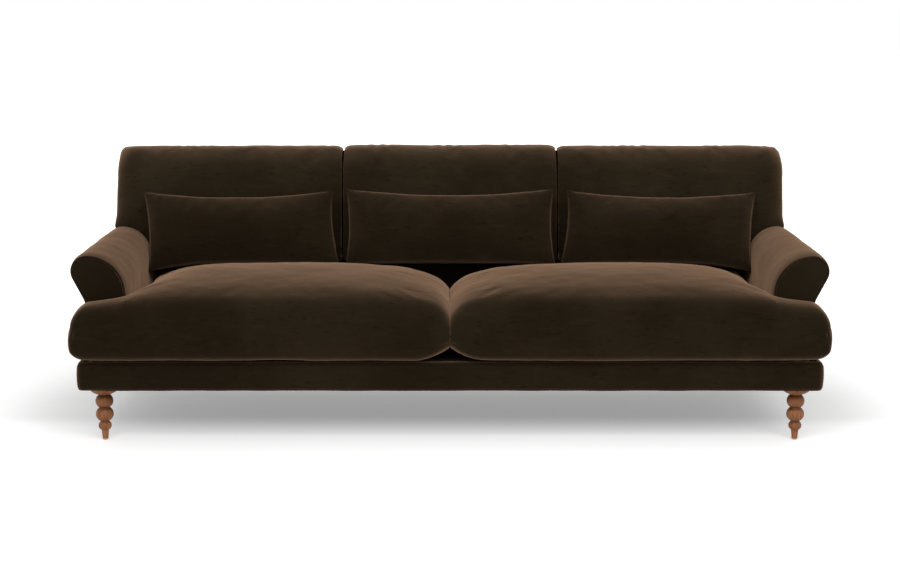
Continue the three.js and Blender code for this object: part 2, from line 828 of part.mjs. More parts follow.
// A padded slab over a plan of grid cells: an upper and an under face whose heights come from
// functions, and walls that swell between them. The walls are rows of the share of the bulge
// and the height above the under face as a share.
function paddedSlab({ us, vs, keep, corners, height, under, wall, bulge, place }) {
  const ids = new Map();
  const plan = [];
  const vertex = (i, j) => {
    const key = i * vs.length + j;
    if (!ids.has(key)) {
      ids.set(key, plan.length);
      plan.push(corners.reduce(roundCorner, [us[i], vs[j]]));
    }
    return ids.get(key);
  };
  const upper = [];
  const edges = new Map();
  const toggle = (a, b) => {
    if (!edges.delete(`${b},${a}`)) {
      edges.set(`${a},${b}`, [a, b]);
    }
  };
  for (let i = 0; i + 1 < us.length; i += 1) {
    for (let j = 0; j + 1 < vs.length; j += 1) {
      if (keep((us[i] + us[i + 1]) / 2, (vs[j] + vs[j + 1]) / 2)) {
        const [a, b, c, d] = [vertex(i, j), vertex(i + 1, j), vertex(i + 1, j + 1), vertex(i, j + 1)];
        upper.push([a, b, c], [a, c, d]);
        [[a, b], [b, c], [c, d], [d, a]].forEach(([p, q]) => toggle(p, q));
      }
    }
  }
  const following = new Map([...edges.values()]);
  const rim = [following.keys().next().value];
  while (rim.length < following.size) {
    rim.push(following.get(rim[rim.length - 1]));
  }
  const tops = plan.map(([u, v]) => [u, v, height(u, v)]);
  const bottoms = plan.map(([u, v]) => [u, v, under(u, v)]);
  const positions = [...tops, ...bottoms];
  const count = rim.length;
  const rings = [rim];
  for (const [share, level] of wall) {
    rings.push(rim.map((id, k) => {
      const [u, v] = plan[id];
      const before = plan[rim[(k + count - 1) % count]];
      const after = plan[rim[(k + 1) % count]];
      const length = Math.hypot(after[0] - before[0], after[1] - before[1]);
      const nu = (after[1] - before[1]) / length;
      const nv = -(after[0] - before[0]) / length;
      const out = share * bulge(u, v, nu, nv);
      const low = bottoms[id][2];
      positions.push([u + nu * out, v + nv * out, low + level * (tops[id][2] - low)]);
      return positions.length - 1;
    }));
  }
  const below = plan.length;
  rings.push(rim.map((id) => below + id));
  const triangles = upper.flatMap(([a, b, c]) => [a, b, c, below + c, below + b, below + a]);
  for (let r = 0; r + 1 < rings.length; r += 1) {
    for (let k = 0; k < count; k += 1) {
      const m = (k + 1) % count;
      triangles.push(rings[r][m], rings[r][k], rings[r + 1][k]);
      triangles.push(rings[r][m], rings[r + 1][k], rings[r + 1][m]);
    }
  }
  return closedGeometry(positions.map(place), triangles);
}

// Seat cushions

const seatRearY = backFootY - softFit - fit;
const stemSideX = armInnerX - softFit;
const wingRearY = armFrontY - wingRearClearance;
const seatFloor = deckTop + fit;

// Near a corner of a plan whose radius is given, shortens the distances from both of its edges so
// that they reach 0 on the round corner
function roundedDistances(a, b, radius) {
  const nearest = Math.min(a, b);
  if (Math.max(a, b) >= radius || nearest <= 0) {
    return [a, b];
  }
  const fromRound = Math.max(0, radius - Math.hypot(radius - a, radius - b));
  return [(a * fromRound) / nearest, (b * fromRound) / nearest];
}

// Height of a seat cushion's face. It crowns from front to rear, falls into the seam between the
// two cushions, falls to an almost level edge along the arm, from which the wing slopes out, and
// rolls over at its front, rear and wing end.
function seatHeight(x, y) {
  const across = Math.abs(x);
  const onWing = across > stemSideX;
  const fromSeam = across - seamFit;
  const fromSide = Math.max(0, stemSideX - across);
  let fromFront = y - (seatFrontY + seatBulge);
  let fromWingEnd = wingEndX - seatBulge - across;
  [fromFront, fromWingEnd] = roundedDistances(fromFront, fromWingEnd, seatPlanRounding);
  const fromWingRear = onWing ? Math.max(0, wingRearY - y) : wingRearRounding;
  const nearFront = 1 - THREE.MathUtils.smoothstep(y, seatFrontY, seatFrontY + seatFrontFade);
  const crown = seatCrownHeight - (y - seatCrownY) ** 2 / (2 * seatCrownRadius);
  const besideFront = 1 - THREE.MathUtils.smoothstep(y, wingRearY, wingRearY + seatSideFade);
  const sideLevel = seatSideLevel + seatSideFrontRise * besideFront;
  const besideArm = Math.exp(-fromSide / seatSideSpread);
  const outOnWing = Math.max(0, across - stemSideX);
  const face = THREE.MathUtils.lerp(crown, sideLevel, besideArm)
    - wingSlope * outOnWing
    - wingDip * (1 - Math.exp(-outOnWing / wingDipSpread))
    - seatFrontFall * Math.max(0, 1 - fromFront / seatFrontFallReach) ** 2;
  const wingShare = THREE.MathUtils.smoothstep(across, stemSideX - 120, stemSideX + 40);
  const frontRounding = THREE.MathUtils.lerp(seatFrontRounding, wingFrontRounding, wingShare);
  const valley = seamValleyDrop * (1 + seamValleyFrontGain * nearFront)
    * Math.exp(-fromSeam / seamValleySpread);
  const shoulder = seamShoulderDrop * (1 - seamShoulderFrontLoss * nearFront)
    * Math.exp(-fromSeam / seamShoulderSpread);
  const rolledEdges = Math.hypot(
    seatFrontDrop * (1 - quarterRound(fromFront, frontRounding)),
    wingEndDrop * (1 - quarterRound(fromWingEnd, wingEndRounding)),
    wingRearRounding * (1 - quarterRound(fromWingRear, wingRearRounding)),
    seatRearRounding * (1 - quarterRound(seatRearY - y, seatRearRounding)),
  );
  return deckTop + face - valley - shoulder - rolledEdges;
}

// Height of its under face, which rolls up at the edges that show
function seatUnder(x, y) {
  const fromFront = y - (seatFrontY + seatBulge);
  const fromWingEnd = wingEndX - seatBulge - Math.abs(x);
  const onWing = y < wingRearY ? 1 : 0;
  const fromSeam = Math.abs(x) - seamFit;
  const atFront = 1 - THREE.MathUtils.smoothstep(fromFront, 0, seamLowerEdgeDepth);
  const overhang = Math.min(fromFront, fromWingEnd);
  const rise = 1 - THREE.MathUtils.smoothstep(overhang, 0.3 * seatLowerRiseReach, seatLowerRiseReach);
  return seatFloor
    + seatLowerRise * rise
    + seatLowerEdgeLift * (1 - quarterRound(fromFront, seatLowerEdgeReach))
    + seamLowerEdgeLift * Math.max(0, 1 - fromSeam / seamLowerEdgeReach) ** 1.8 * atFront
    + wingLowerEdgeLift * (1 - quarterRound(fromWingEnd, wingLowerEdgeReach)) * onWing;
}

// Distances in from an edge that follow a rounding
function edgeLines(reach) {
  return [0, 0.08, 0.3, 0.62, 1].map((share) => share * reach);
}

function seatCushion(sign) {
  const wingEnd = wingEndX - seatBulge;
  const front = seatFrontY + seatBulge;
  const us = [
    ...[0, 16, 40, 85, 160].map((d) => seamFit + d),
    ...evenly(290, stemSideX - 130, 5),
    stemSideX - 55,
    stemSideX,
    stemSideX + 45,
    ...edgeLines(wingEndRounding).reverse().map((d) => wingEnd - d),
  ].map((u) => sign * u);
  const vs = [
    ...edgeLines(seatFrontRounding).map((d) => front + d),
    front + seatLowerRiseReach,
    ...[1, 0.3, 0].map((share) => wingRearY - share * wingRearRounding),
    ...evenly(wingRearY + 70, seatRearY - 110, 7),
    ...edgeLines(seatRearRounding).slice(0, 4).reverse().map((d) => seatRearY - d),
  ];
  if (sign < 0) {
    us.reverse();
  }
  const keep = (u, v) => Math.abs(u) < stemSideX || v < wingRearY;
  const corners = [
    [sign * wingEnd, front, -sign, 1, seatPlanRounding],
    [sign * wingEnd, wingRearY, -sign, -1, seatPlanRounding],
    [sign * stemSideX, seatRearY, -sign, -1, seatPlanRounding],
    [sign * seamFit, seatRearY, sign, -1, seamPlanRounding],
    [sign * seamFit, front, sign, 1, seamPlanRounding],
  ];
  const exposed = (u, v, nu, nv) => (nv < -0.5 || (Math.abs(u) > stemSideX + 30 && nv < 0.5) ? seatBulge : 0);
  return paddedSlab({
    us,
    vs,
    keep,
    corners,
    height: seatHeight,
    under: seatUnder,
    wall: [[0.7, 0.8], [1, 0.55], [0.75, 0.22]],
    bulge: exposed,
    place: (p) => p,
  });
}

addPiece('seat_cushion_left', seatCushion(-1), velvet);
addPiece('seat_cushion_right', seatCushion(1), velvet);

// Back cushions, attached to the lining

// The bottom of a back cushion clears the seat below its front edge
function backCushionFoot() {
  let up = 0;
  for (let pass = 0; pass < 8; pass += 1) {
    const [, y] = backPoint(0, -backCushionDepth, up);
    const seat = deckTop + seatCrownHeight - (y - seatCrownY) ** 2 / (2 * seatCrownRadius);
    up = (seat + backCushionSeatGap - deckTop - backCushionDepth * backSin) / backCos;
  }
  return up;
}

const backCushionBottom = backCushionFoot();

// A back cushion between two x, crowned in the middle. Its face falls away towards the top and the
// sides by squares of the distance, and rounds over at every edge.
function backCushion(x0, x1, bulgeLeft, bulgeRight) {
  const middle = (x0 + x1) / 2;
  const half = (x1 - x0) / 2;
  const centreUp = (backCushionBottom + backCushionHeight) / 2;
  const halfUp = (backCushionHeight - backCushionBottom) / 2;
  const lines = edgeLines(backCushionCorner);
  const us = [
    ...lines.map((d) => x0 + d),
    ...evenly(x0 + backCushionSideReach, x1 - backCushionSideReach, 5),
    ...lines.slice().reverse().map((d) => x1 - d),
  ];
  const topFallStart = backCushionHeight - backCushionTopReach;
  const vs = [
    ...lines.map((d) => backCushionBottom + d),
    ...evenly(backCushionBottom + backCushionCorner, topFallStart, 3).slice(1),
    ...[0.67, 0.42].map((share) => backCushionHeight - share * backCushionTopReach),
    ...lines.slice().reverse().map((d) => backCushionHeight - d),
  ];
  const height = (u, v) => {
    const crown = (1 - ((u - middle) / half) ** 2) * (1 - ((v - centreUp) / halfUp) ** 2);
    const edges = [u - x0, x1 - u, v - backCushionBottom, backCushionHeight - v];
    const drops = edges.map((d) => 1 - quarterRound(d, backCushionRounding));
    const fromSide = Math.min(u - x0, x1 - u);
    const fromTop = backCushionHeight - v;
    return backCushionDepth + backCushionCrown * crown
      - backCushionTopFall * Math.max(0, 1 - fromTop / backCushionTopReach) ** 2
      - backCushionSideFall * Math.max(0, 1 - fromSide / backCushionSideReach) ** 2
      - backCushionRounding * Math.min(1, drops.reduce((sum, drop) => sum + drop, 0));
  };
  return paddedSlab({
    us,
    vs,
    keep: () => true,
    corners: [
      [x0, backCushionHeight, 1, -1, backCushionCorner],
      [x1, backCushionHeight, -1, -1, backCushionCorner],
      [x0, backCushionBottom, 1, 1, backCushionCorner],
      [x1, backCushionBottom, -1, 1, backCushionCorner],
    ],
    height,
    under: () => fit,
    wall: [[0.8, 0.75], [1, 0.5], [0.7, 0.2]],
    bulge: (u, v, nu, nv) => {
      if (nv > 0.5) {
        return backCushionBulge;
      }
      const side = nu < -0.5 ? bulgeLeft : bulgeRight;
      return Math.abs(nu) > 0.5 ? side : 0;
    },
    place: ([x, up, out]) => backPoint(x, -out, up),
  });
}

// A side cushion is cut round the roll of its arm
function sideBackCushion(sign) {
  const inner = sign * (backSeamX + seamFit);
  const outer = sign * (backCushionHalfWidth - backCushionBulge);
  const whole = backCushion(Math.min(inner, outer), Math.max(inner, outer),
    sign < 0 ? backCushionBulge : 0, sign < 0 ? 0 : backCushionBulge);
  const beyond = [0, baseDepth].map((y) => {
    const around = armOutline(-softFit, armSplayAt(y), 0).slice(0, 12);
    const farX = 2 * baseHalfWidth;
    return [...around, [farX, around[11][1]], [farX, 0]].map(([x, z]) => [sign * x, y, z]);
  });
  return cut(whole, loft(beyond, beyond[0].map(([x, , z]) => [x, z])));
}

addPiece('back_cushion_left', sideBackCushion(-1), velvet);
addPiece('back_cushion_centre', backCushion(-backSeamX + seamFit, backSeamX - seamFit, 0, 0), velvet);
addPiece('back_cushion_right', sideBackCushion(1), velvet);

// Lumbar pillows, which lean on the back cushions and rest on the seat

const seatCushions = sofa.children.filter((piece) => piece.name.startsWith('seat_cushion'));

// Height of the seat cushions' upper faces under a point, or of the floor beside them
function seatFaceHeight(x, y) {
  const ray = new THREE.Raycaster(new THREE.Vector3(x, y, backHeight + deckTop), new THREE.Vector3(0, 0, -1));
  const hits = ray.intersectObjects(seatCushions);
  return hits.length > 0 ? hits[0].point.z : 0;
}

function pillow(centreX, halfWidth, height, slip, tilt) {
  const halfHeight = height / 2;
  const columns = 16;
  const rows = 10;
  const leanSin = Math.sin(pillowLean);
  const leanCos = Math.cos(pillowLean);
  // Points of the front or rear face, thin at the sewn edge and fullest in the middle
  const facePoint = (i, j, face) => {
    const u = -Math.cos((Math.PI * i) / columns);
    const v = -Math.cos((Math.PI * j) / rows);
    const sideways = u * (halfWidth - pillowSidePinch * (1 - v * v));
    const pinch = v > 0 ? pillowTopPinch : 0;
    const up = v * (halfHeight - pinch * (1 - u * u)) + u * tilt;
    const swell = ((1 - u * u) * (1 - v * v)) ** pillowFullness;
    const out = (face * pillowThickness * swell) / 2;
    const x = centreX + sideways - (slip * up) / halfHeight;
    const rise = up + halfHeight;
    return [x, pillowFootY + rise * leanSin - out * leanCos, rise * leanCos + out * leanSin];
  };
  const positions = [];
  const triangles = [];
  const ids = [1, -1].map((face) => evenly(0, columns, columns).map((i) => evenly(0, rows, rows).map((j) => {
    const edge = i === 0 || i === columns || j === 0 || j === rows;
    if (edge && face < 0) {
      return -1;
    }
    positions.push(facePoint(i, j, face));
    return positions.length - 1;
  })));
  const idOf = (f, i, j) => (ids[f][i][j] < 0 ? ids[0][i][j] : ids[f][i][j]);
  for (const f of [0, 1]) {
    for (let i = 0; i < columns; i += 1) {
      for (let j = 0; j < rows; j += 1) {
        const [a, b, c, d] = [idOf(f, i, j), idOf(f, i + 1, j), idOf(f, i + 1, j + 1), idOf(f, i, j + 1)];
        const towardsMiddle = (i < columns / 2) === (j < rows / 2);
        const quad = towardsMiddle ? [a, b, c, a, c, d] : [a, b, d, b, c, d];
        triangles.push(...(f === 0 ? quad : quad.reverse()));
      }
    }
  }
  const lift = Math.max(...positions.map(([x, y, z]) => seatFaceHeight(x, y) - z)) + fit;
  return closedGeometry(positions.map(([x, y, z]) => [x, y, z + lift]), triangles);
}

addPiece('lumbar_pillow_left', pillow(-sidePillowX, sidePillowHalfWidth, sidePillowHeight,
  sidePillowSlip, sidePillowTilt), velvet);
addPiece('lumbar_pillow_centre', pillow(0, centrePillowHalfWidth, centrePillowHeight, 0, 0), velvet);
addPiece('lumbar_pillow_right', pillow(sidePillowX, sidePillowHalfWidth, sidePillowHeight,
  -sidePillowSlip, -sidePillowTilt), velvet);

// The origin is on the floor under the middle of the whole sofa
const rearmostY = backPoint(0, backDepth, backHeight - backEdgeRounding)[1];
sofa.position.y = -(seatFrontY + rearmostY) / 2;

export default sofa;
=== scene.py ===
"""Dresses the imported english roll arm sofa: velvet cushions and covers, turned legs and a studio stage.

Metres, in the part's own frame: X to the right seen from the front, -Y to the front and Z up from
the floor.
"""

import json
import math

import bmesh
import bpy
import numpy as np
from bpy.props import FloatProperty, FloatVectorProperty, IntProperty, PointerProperty
from bpy.types import Operator, Panel, PropertyGroup
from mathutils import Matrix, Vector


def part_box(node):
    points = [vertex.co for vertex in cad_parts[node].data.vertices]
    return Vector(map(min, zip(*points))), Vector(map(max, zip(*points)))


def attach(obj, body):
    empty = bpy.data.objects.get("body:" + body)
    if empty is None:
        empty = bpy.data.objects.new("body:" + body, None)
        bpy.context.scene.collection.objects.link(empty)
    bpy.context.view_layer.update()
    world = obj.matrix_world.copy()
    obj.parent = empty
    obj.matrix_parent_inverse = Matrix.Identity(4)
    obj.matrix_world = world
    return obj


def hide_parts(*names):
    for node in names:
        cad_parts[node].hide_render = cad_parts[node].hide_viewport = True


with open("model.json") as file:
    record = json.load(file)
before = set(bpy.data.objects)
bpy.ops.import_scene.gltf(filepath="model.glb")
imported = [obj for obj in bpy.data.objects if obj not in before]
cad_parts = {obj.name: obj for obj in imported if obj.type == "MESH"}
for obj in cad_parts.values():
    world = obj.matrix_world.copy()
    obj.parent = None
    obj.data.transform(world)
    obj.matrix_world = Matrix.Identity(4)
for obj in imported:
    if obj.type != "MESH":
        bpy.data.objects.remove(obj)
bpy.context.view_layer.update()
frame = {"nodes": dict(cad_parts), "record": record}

bl_info = {
    "name": "Roll Arm Sofa",
    "version": (1, 0, 0),
    "blender": (4, 5, 0),
    "location": "View3D > Sidebar > Sofa",
    "description": "Dresses a roll arm sofa with velvet cushions and covers, turned legs and a stage",
    "category": "Add Mesh",
}

SIDES = (("left", -1), ("right", 1))
CORNERS = ("front_left", "front_right", "rear_left", "rear_right")

# Places taken from the frame
SEAT_LOW, SEAT_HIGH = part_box("seat_cushion_right")
ARM_LOW, ARM_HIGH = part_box("arm_cover_right")
PANEL_LOW, PANEL_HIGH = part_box("arm_front_panel_right")
BACK_LOW, BACK_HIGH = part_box("back_cover")
LINING_LOW, LINING_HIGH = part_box("back_lining")
CUSHION_LOW, CUSHION_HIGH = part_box("back_cushion_centre")
BASE_LOW, BASE_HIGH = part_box("base_cover_front")
BASE_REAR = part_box("base_cover_rear")[1].y
SEAM_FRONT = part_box("base_cover_left")[0].y
SEAM_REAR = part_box("base_cover_left")[1].y
DECK_TOP = BASE_HIGH.z
BACK_FOOT = LINING_LOW.y


# Property helpers

def length(name, description, default):
    """A size or place in metres."""
    return FloatProperty(name=name, description=description, default=default, precision=4, unit="LENGTH")


def amount(name, description, default):
    """A plain number."""
    return FloatProperty(name=name, description=description, default=default, precision=3)


def turn(name, description, degrees):
    """An angle, given here in degrees."""
    return FloatProperty(name=name, description=description, default=math.radians(degrees), subtype="ANGLE")


def colour(name, description, default):
    """A linear colour."""
    return FloatVectorProperty(name=name, description=description, default=default, size=3, min=0.0,
                               max=1.0, subtype="COLOR")


class VelvetSettings(PropertyGroup):
    """Colours and pile of the velvet."""
    pile: colour("Pile", "Colour seen straight into the pile", (0.0074, 0.0054, 0.0028))
    pile_shift: colour("Brushed pile", "Colour where the pile has been brushed", (0.0168, 0.0123, 0.0068))
    sheen_tint: colour("Sheen", "Colour of the light caught by the tips of the pile", (0.60, 0.37, 0.235))
    sheen: amount("Sheen weight", "Strength of the light caught by the tips", 0.97)
    arm_sheen: amount("Arm sheen weight", "The same on the arms", 0.88)
    # painted light: the two lifts below make lighter copies of the velvet on the back and the pillows, for the
    # light that falls more on them
    back_painted_light: amount("Back nap", "How much lighter the nap lies on the back", 1.65)
    pillow_painted_light: amount("Pillow nap", "How much lighter the nap lies on the pillows", 1.2)
    sheen_roughness: amount("Sheen roughness", "Spread of the light caught by the tips", 0.44)
    nap_size: amount("Nap patches", "Patches of brushed pile to the metre", 3.4)
    streak_size: amount("Light streaks", "Light streaks of the nap to the metre", 48.0)
    dash_size: amount("Crush marks", "Short dark crush marks to the metre", 120.0)
    pile_size: amount("Pile grain", "Tufts to the metre", 1400.0)


class PaddingSettings(PropertyGroup):
    """How the cushions are filled."""
    step: length("Grid step", "Spacing of the cloth's grid", 0.0125)
    pressure: amount("Pressure", "Pressure of the filling while the cover settles", 2.2)
    slack: amount("Slack", "Share by which the cloth is cut too large", 0.007)
    travel: length("Travel", "Most that a point of the cover may move", 0.004)
    frames: IntProperty(name="Frames", description="Steps that the cover settles for", default=16, min=2)
    unevenness: length("Unevenness", "Height of the soft lumps in the filling", 0.0022)


class SeatSettings(PropertyGroup):
    """The two loose T-shaped seat cushions."""
    crown_height: length("Crown height", "Highest point above the base", 0.2548)
    crown_place: length("Crown place", "How deep in the seat the crown lies", -0.165)
    crown_radius: length("Crown radius", "Radius of the crown from front to rear", 1.15)
    front_rounding: length("Front rounding", "Reach of the front roll", 0.048)
    front_drop: length("Front drop", "Fall of the front roll", 0.05)
    front_fall: length("Front fall", "Gentle fall before the front roll", 0.005)
    wing_fall: length("Wing fall", "Gentle fall before the front roll of the wing", 0.021)
    front_run: length("Front run", "Reach of the gentle fall", 0.11)
    wing_rounding: length("Wing rounding", "Reach of the roll at the wing's end", 0.056)
    wing_drop: length("Wing drop", "Fall of the roll at the wing's end", 0.054)
    wing_front: length("Wing front rounding", "Reach of the front roll on the wing", 0.044)
    wing_front_drop: length("Wing front drop", "Fall of the front roll on the wing", 0.045)
    wing_trim: length("Wing trim", "How far the wing's end stays inside its place", 0.005)
    wing_slope: amount("Wing slope", "Fall of the wing towards its end", 0.1)
    wing_dip: length("Wing dip", "Fall of the wing just beyond the arm's inner face", 0.006)
    wing_dip_spread: length("Wing dip spread", "Reach of that fall", 0.03)
    wing_rear: length("Wing rear rounding", "Reach and fall of the roll before the arm", 0.012)
    rear_rounding: length("Rear rounding", "Reach and fall of the rear roll", 0.04)
    side_level: length("Side level", "Height of the edge along the arm", 0.168)
    side_rise: length("Side rise", "Rise of that edge towards the front", 0.037)
    side_spread: length("Side spread", "Reach of the fall towards the arm", 0.097)
    valley_drop: length("Valley drop", "Steep fall into the seam", 0.036)
    valley_front: amount("Valley front", "Growth of the steep fall towards the front", 0.6)
    valley_spread: length("Valley spread", "Reach of the steep fall", 0.032)
    shoulder_drop: length("Shoulder drop", "Gentle fall into the seam", 0.055)
    shoulder_front: amount("Shoulder front", "Loss of the gentle fall towards the front", 0.85)
    shoulder_spread: length("Shoulder spread", "Reach of the gentle fall", 0.145)
    plan_rounding: length("Plan rounding", "Radius of the corners seen from above", 0.02)
    seam_rounding: length("Seam rounding", "Radius of the corners at the seam", 0.005)
    bulge: length("Bulge", "How far the front and the wing swell", 0.006)
    lower_lift: length("Lower lift", "Rise of the lower front edge", 0.022)
    lower_reach: length("Lower reach", "Depth of the lower front edge", 0.03)
    wing_lift: length("Wing lift", "Rise of the wing's lower edge", 0.036)
    wing_reach: length("Wing reach", "Depth of the wing's lower edge", 0.05)
    lower_rise: length("Lower rise", "Gentle rise of the overhanging lower face", 0.008)
    lower_run: length("Lower run", "Depth of that rise", 0.075)
    seam_lift: length("Seam lift", "Rise of the lower corners at the seam", 0.045)
    seam_reach: length("Seam reach", "Width of the lower corners at the seam", 0.105)
    seam_depth: length("Seam depth", "Depth of the lower corners at the seam", 0.32)


class BackSettings(PropertyGroup):
    """The leaning back, its cushions and its outside cover."""
    rake: turn("Rake", "How far the back leans", 12.0)
    height: length("Frame height", "Height of the frame along its face", 0.544)
    depth: length("Frame depth", "Depth of the frame with its cover", 0.0825)
    edge: length("Edge rounding", "Rounding of the outside cover", 0.016)
    above: length("Above the frame", "How far the cushions rise over the frame", 0.0605)
    thickness: length("Cushion depth", "Depth of a cushion at its edges", 0.148)
    crown: length("Cushion crown", "How far the middle of a cushion stands out", 0.022)
    rounding: length("Cushion rounding", "Reach and fall of the edge of a cushion", 0.012)
    seam_rounding: length("Seam rounding", "The same where two cushions meet", 0.0008)
    seam_gap: length("Seam gap", "Half the gap between two cushions", 0.0028)
    top_fall: length("Top fall", "Fall of the face towards the top", 0.072)
    top_reach: length("Top reach", "Reach of that fall", 0.095)
    seam_fall: length("Seam fall", "Fall of the face towards the next cushion", 0.024)
    seam_reach: length("Seam reach", "Reach of that fall", 0.062)
    side_fall: length("Side fall", "Fall of the face towards the outer side", 0.034)
    side_reach: length("Side reach", "Reach of that fall", 0.052)
    corner: length("Cushion corner", "Radius of a cushion's corners at the seams", 0.018)
    outer_corner: length("Outer corner", "Radius of the back's upper corners", 0.013)
    # painted shade: the strip between two cushions darkens the crease between them
    strip_recess: length("Strip recess", "How far the strip between two cushions lies behind their edge", 0.0003)
    tuck: length("Tuck", "How far the lower edges are drawn up", 0.016)
    bulge: length("Cushion bulge", "Swell of the top and the outer sides", 0.006)
    spread: length("Cushion spread", "How far the outer side leans out at the arm", 0.005)
    droop: length("Corner droop", "Fall of the top towards the outer corner", 0.005)
    centre_rise: length("Centre rise", "How far the centre cushion stands above the others", 0.0024)
    arm_press: length("Arm press", "How far a cushion presses over the arm", 0.009)
    pucker: length("Pucker", "Depth of the gathers along the upper seam", 0.0022)
    pucker_pitch: length("Pucker pitch", "Spacing of the gathers", 0.034)


class PillowSettings(PropertyGroup):
    """The three lumbar pillows."""
    thickness: length("Thickness", "Thickness in the middle", 0.126)
    lean: turn("Lean", "How far a pillow leans back", 22.0)
    foot: length("Foot place", "Depth of a pillow's lower seam", 0.1216)
    side_pinch: length("Side pinch", "How far the side seams draw in", 0.009)
    top_pinch: length("Top pinch", "How far the top seam draws in", 0.0225)
    fullness: amount("Fullness", "Power of the swell: lower is fuller", 0.5)
    centre_height: length("Centre height", "Height of the centre pillow", 0.264)
    side_height: length("Side height", "Height of a side pillow", 0.2575)
    centre_half: length("Centre half width", "Half the width of the centre pillow", 0.36)
    side_half: length("Side half width", "Half the width of a side pillow", 0.328)
    side_place: length("Side place", "Distance of a side pillow from the middle", 0.7285)
    slip: length("Slip", "How far a side pillow's foot slips outwards", 0.012)
    tilt: length("Tilt", "Rise of a side pillow towards the middle", 0.003)
    droop: length("Corner droop", "How far a side pillow's outer lower corner sinks", 0.026)
    droop_reach: length("Droop reach", "Width over which it sinks", 0.2)
    pucker: length("Pucker", "Depth of the gathers along the seam", 0.0016)
    pucker_pitch: length("Pucker pitch", "Spacing of the gathers", 0.03)
    pucker_reach: length("Pucker reach", "How far the gathers run in", 0.035)
    ridge: length("Seam ridge", "Radius of the ridge along the seam", 0.0019)


class ArmSettings(PropertyGroup):
    """The rolled arms."""
    roll: length("Roll radius", "Radius of the roll", 0.056)
    roll_end: turn("Roll end", "Where the roll turns under, below the level", 27.0)
    outside: length("Outside setback", "How far the outside panel lies inside the roll", 0.046)
    turn_fillet: length("Turn fillet", "Length of the bend under the roll", 0.02)
    splay: length("Splay", "How far the inner face moves out at the back", 0.03)
    lip: length("Lip", "Length over which the front edge draws in", 0.045)
    edge_inset: length("Edge inset", "How far the front edge draws in", 0.005)
    panel_inset: length("Panel inset", "Distance of the front panel from the roll", 0.0135)
    puff: length("Puff", "Padding of the front panel", 0.003)
    fullness: length("Fullness", "Swell of the arm along its length", 0.002)
    welt: length("Welt radius", "Radius of the welt", 0.0016)
    welt_inset: length("Welt inset", "Distance of the welt from the roll", 0.0095)
    groove: length("Groove", "Depth of the groove that the welt lies in", 0.008)


class BaseSettings(PropertyGroup):
    """The upholstered base."""
    corner: length("Corner radius", "Radius of the corners seen from above", 0.024)
    top: length("Top rounding", "Rounding of the upper edge", 0.018)
    bottom: length("Bottom rounding", "Rounding of the lower edge", 0.01)
    fullness: length("Fullness", "Swell of the face", 0.004)
    turned_in: length("Return", "How far the cover turns in", 0.02)
    wall: length("Wall", "Thickness of the padding", 0.005)
    proud: length("Proud", "How far the padding stands in front of its place", 0.008)
    underlap: length("Underlap", "Thickness of the cover below the rails", 0.0018)
    edge_roll: length("Edge roll", "Height of the padded upper edge", 0.018)
    step: length("Step", "Spacing of the stations round the base", 0.025)


class LegSettings(PropertyGroup):
    """The turned legs, from the floor up."""
    foot: length("Foot", "Height of the tapered foot", 0.027)
    foot_bottom: length("Foot bottom", "Radius of the foot at the glide", 0.0096)
    foot_top: length("Foot top", "Radius of the foot under the small bead", 0.0123)
    small_bead: length("Small bead", "Height of the small bead", 0.028)
    small_radius: length("Small bead radius", "Radius of the small bead", 0.021)
    lower_neck: length("Lower neck", "Height of the neck over the small bead", 0.003)
    lower_neck_radius: length("Lower neck radius", "Radius of that neck", 0.013)
    bead: length("Bead", "Height of a large bead", 0.042)
    bead_radius: length("Bead radius", "Radius of a large bead", 0.0285)
    upper_neck: length("Upper neck", "Height of the neck between the large beads", 0.001)
    upper_neck_radius: length("Upper neck radius", "Radius of that neck", 0.0168)
    collar: length("Collar", "Height of the collar", 0.002)
    collar_radius: length("Collar radius", "Radius of the collar", 0.022)
    bowl: length("Bowl", "Height of the bowl under the cap", 0.022)
    cap_radius: length("Cap radius", "Radius of the cap", 0.047)
    bolt_radius: length("Bolt radius", "Radius of the hanger bolt", 0.004)
    # painted shade: the wood is painted darker in the grooves between the beads
    groove: length("Groove", "Depth at which a groove is darkest", 0.008)
    wood: colour("Wood", "Colour of the early wood", (0.345, 0.13, 0.044))
    wood_dark: colour("Late wood", "Colour of the late wood", (0.19, 0.063, 0.018))
    sides: IntProperty(name="Sides", description="Faces round a leg", default=72, min=12)


class StageSettings(PropertyGroup):
    """Camera, lamps and floor."""
    camera_distance: length("Camera distance", "Distance of the camera in front of the sofa", 6.049)
    camera_height: length("Camera height", "Height of the camera", 1.45)
    camera_tilt: turn("Camera tilt", "How far the camera looks down", 9.493)
    lens: amount("Lens", "Focal length in millimetres on a 36 mm sensor", 72.0)
    sky: amount("Sky", "Strength of the even light", 0.6)
    key: amount("Key lamp", "Power of the soft lamp in watts", 110.0)
    key_height: length("Key height", "Height of the soft lamp", 2.9)
    key_ahead: length("Key distance", "Distance of the soft lamp in front", 3.3)
    key_aside: length("Key side", "How far the soft lamp stands to the right", 0.6)
    key_size: length("Key size", "Width of the soft lamp", 5.5)
    floor_glow: amount("Floor glow", "Brightness added to the floor for the camera", 0.29)
    floor: colour("Floor", "Colour of the floor", (0.8, 0.8, 0.8))


# Mesh helpers

def smoothstep(x, low, high):
    """0 below low, 1 above high, and 3t^2 - 2t^3 between."""
    t = np.clip((x - low) / (high - low), 0, 1)
    return t * t * (3 - 2 * t)


def quarter_round(distance, reach):
    """A quarter ellipse that rises from 0 at an edge to 1 at its reach."""
    q = np.clip(1 - distance / reach, 0, 1)
    return np.sqrt(1 - q * q)


def rounded_distances(a, b, radius):
    """Distances from two edges, shortened near their corner so that they are 0 on its round."""
    nearest = np.minimum(a, b)
    inside = (np.maximum(a, b) < radius) & (nearest > 0)
    from_round = np.maximum(0, radius - np.hypot(radius - a, radius - b))
    share = np.where(inside, from_round / np.maximum(nearest, 1e-9), 1)
    return a * share, b * share


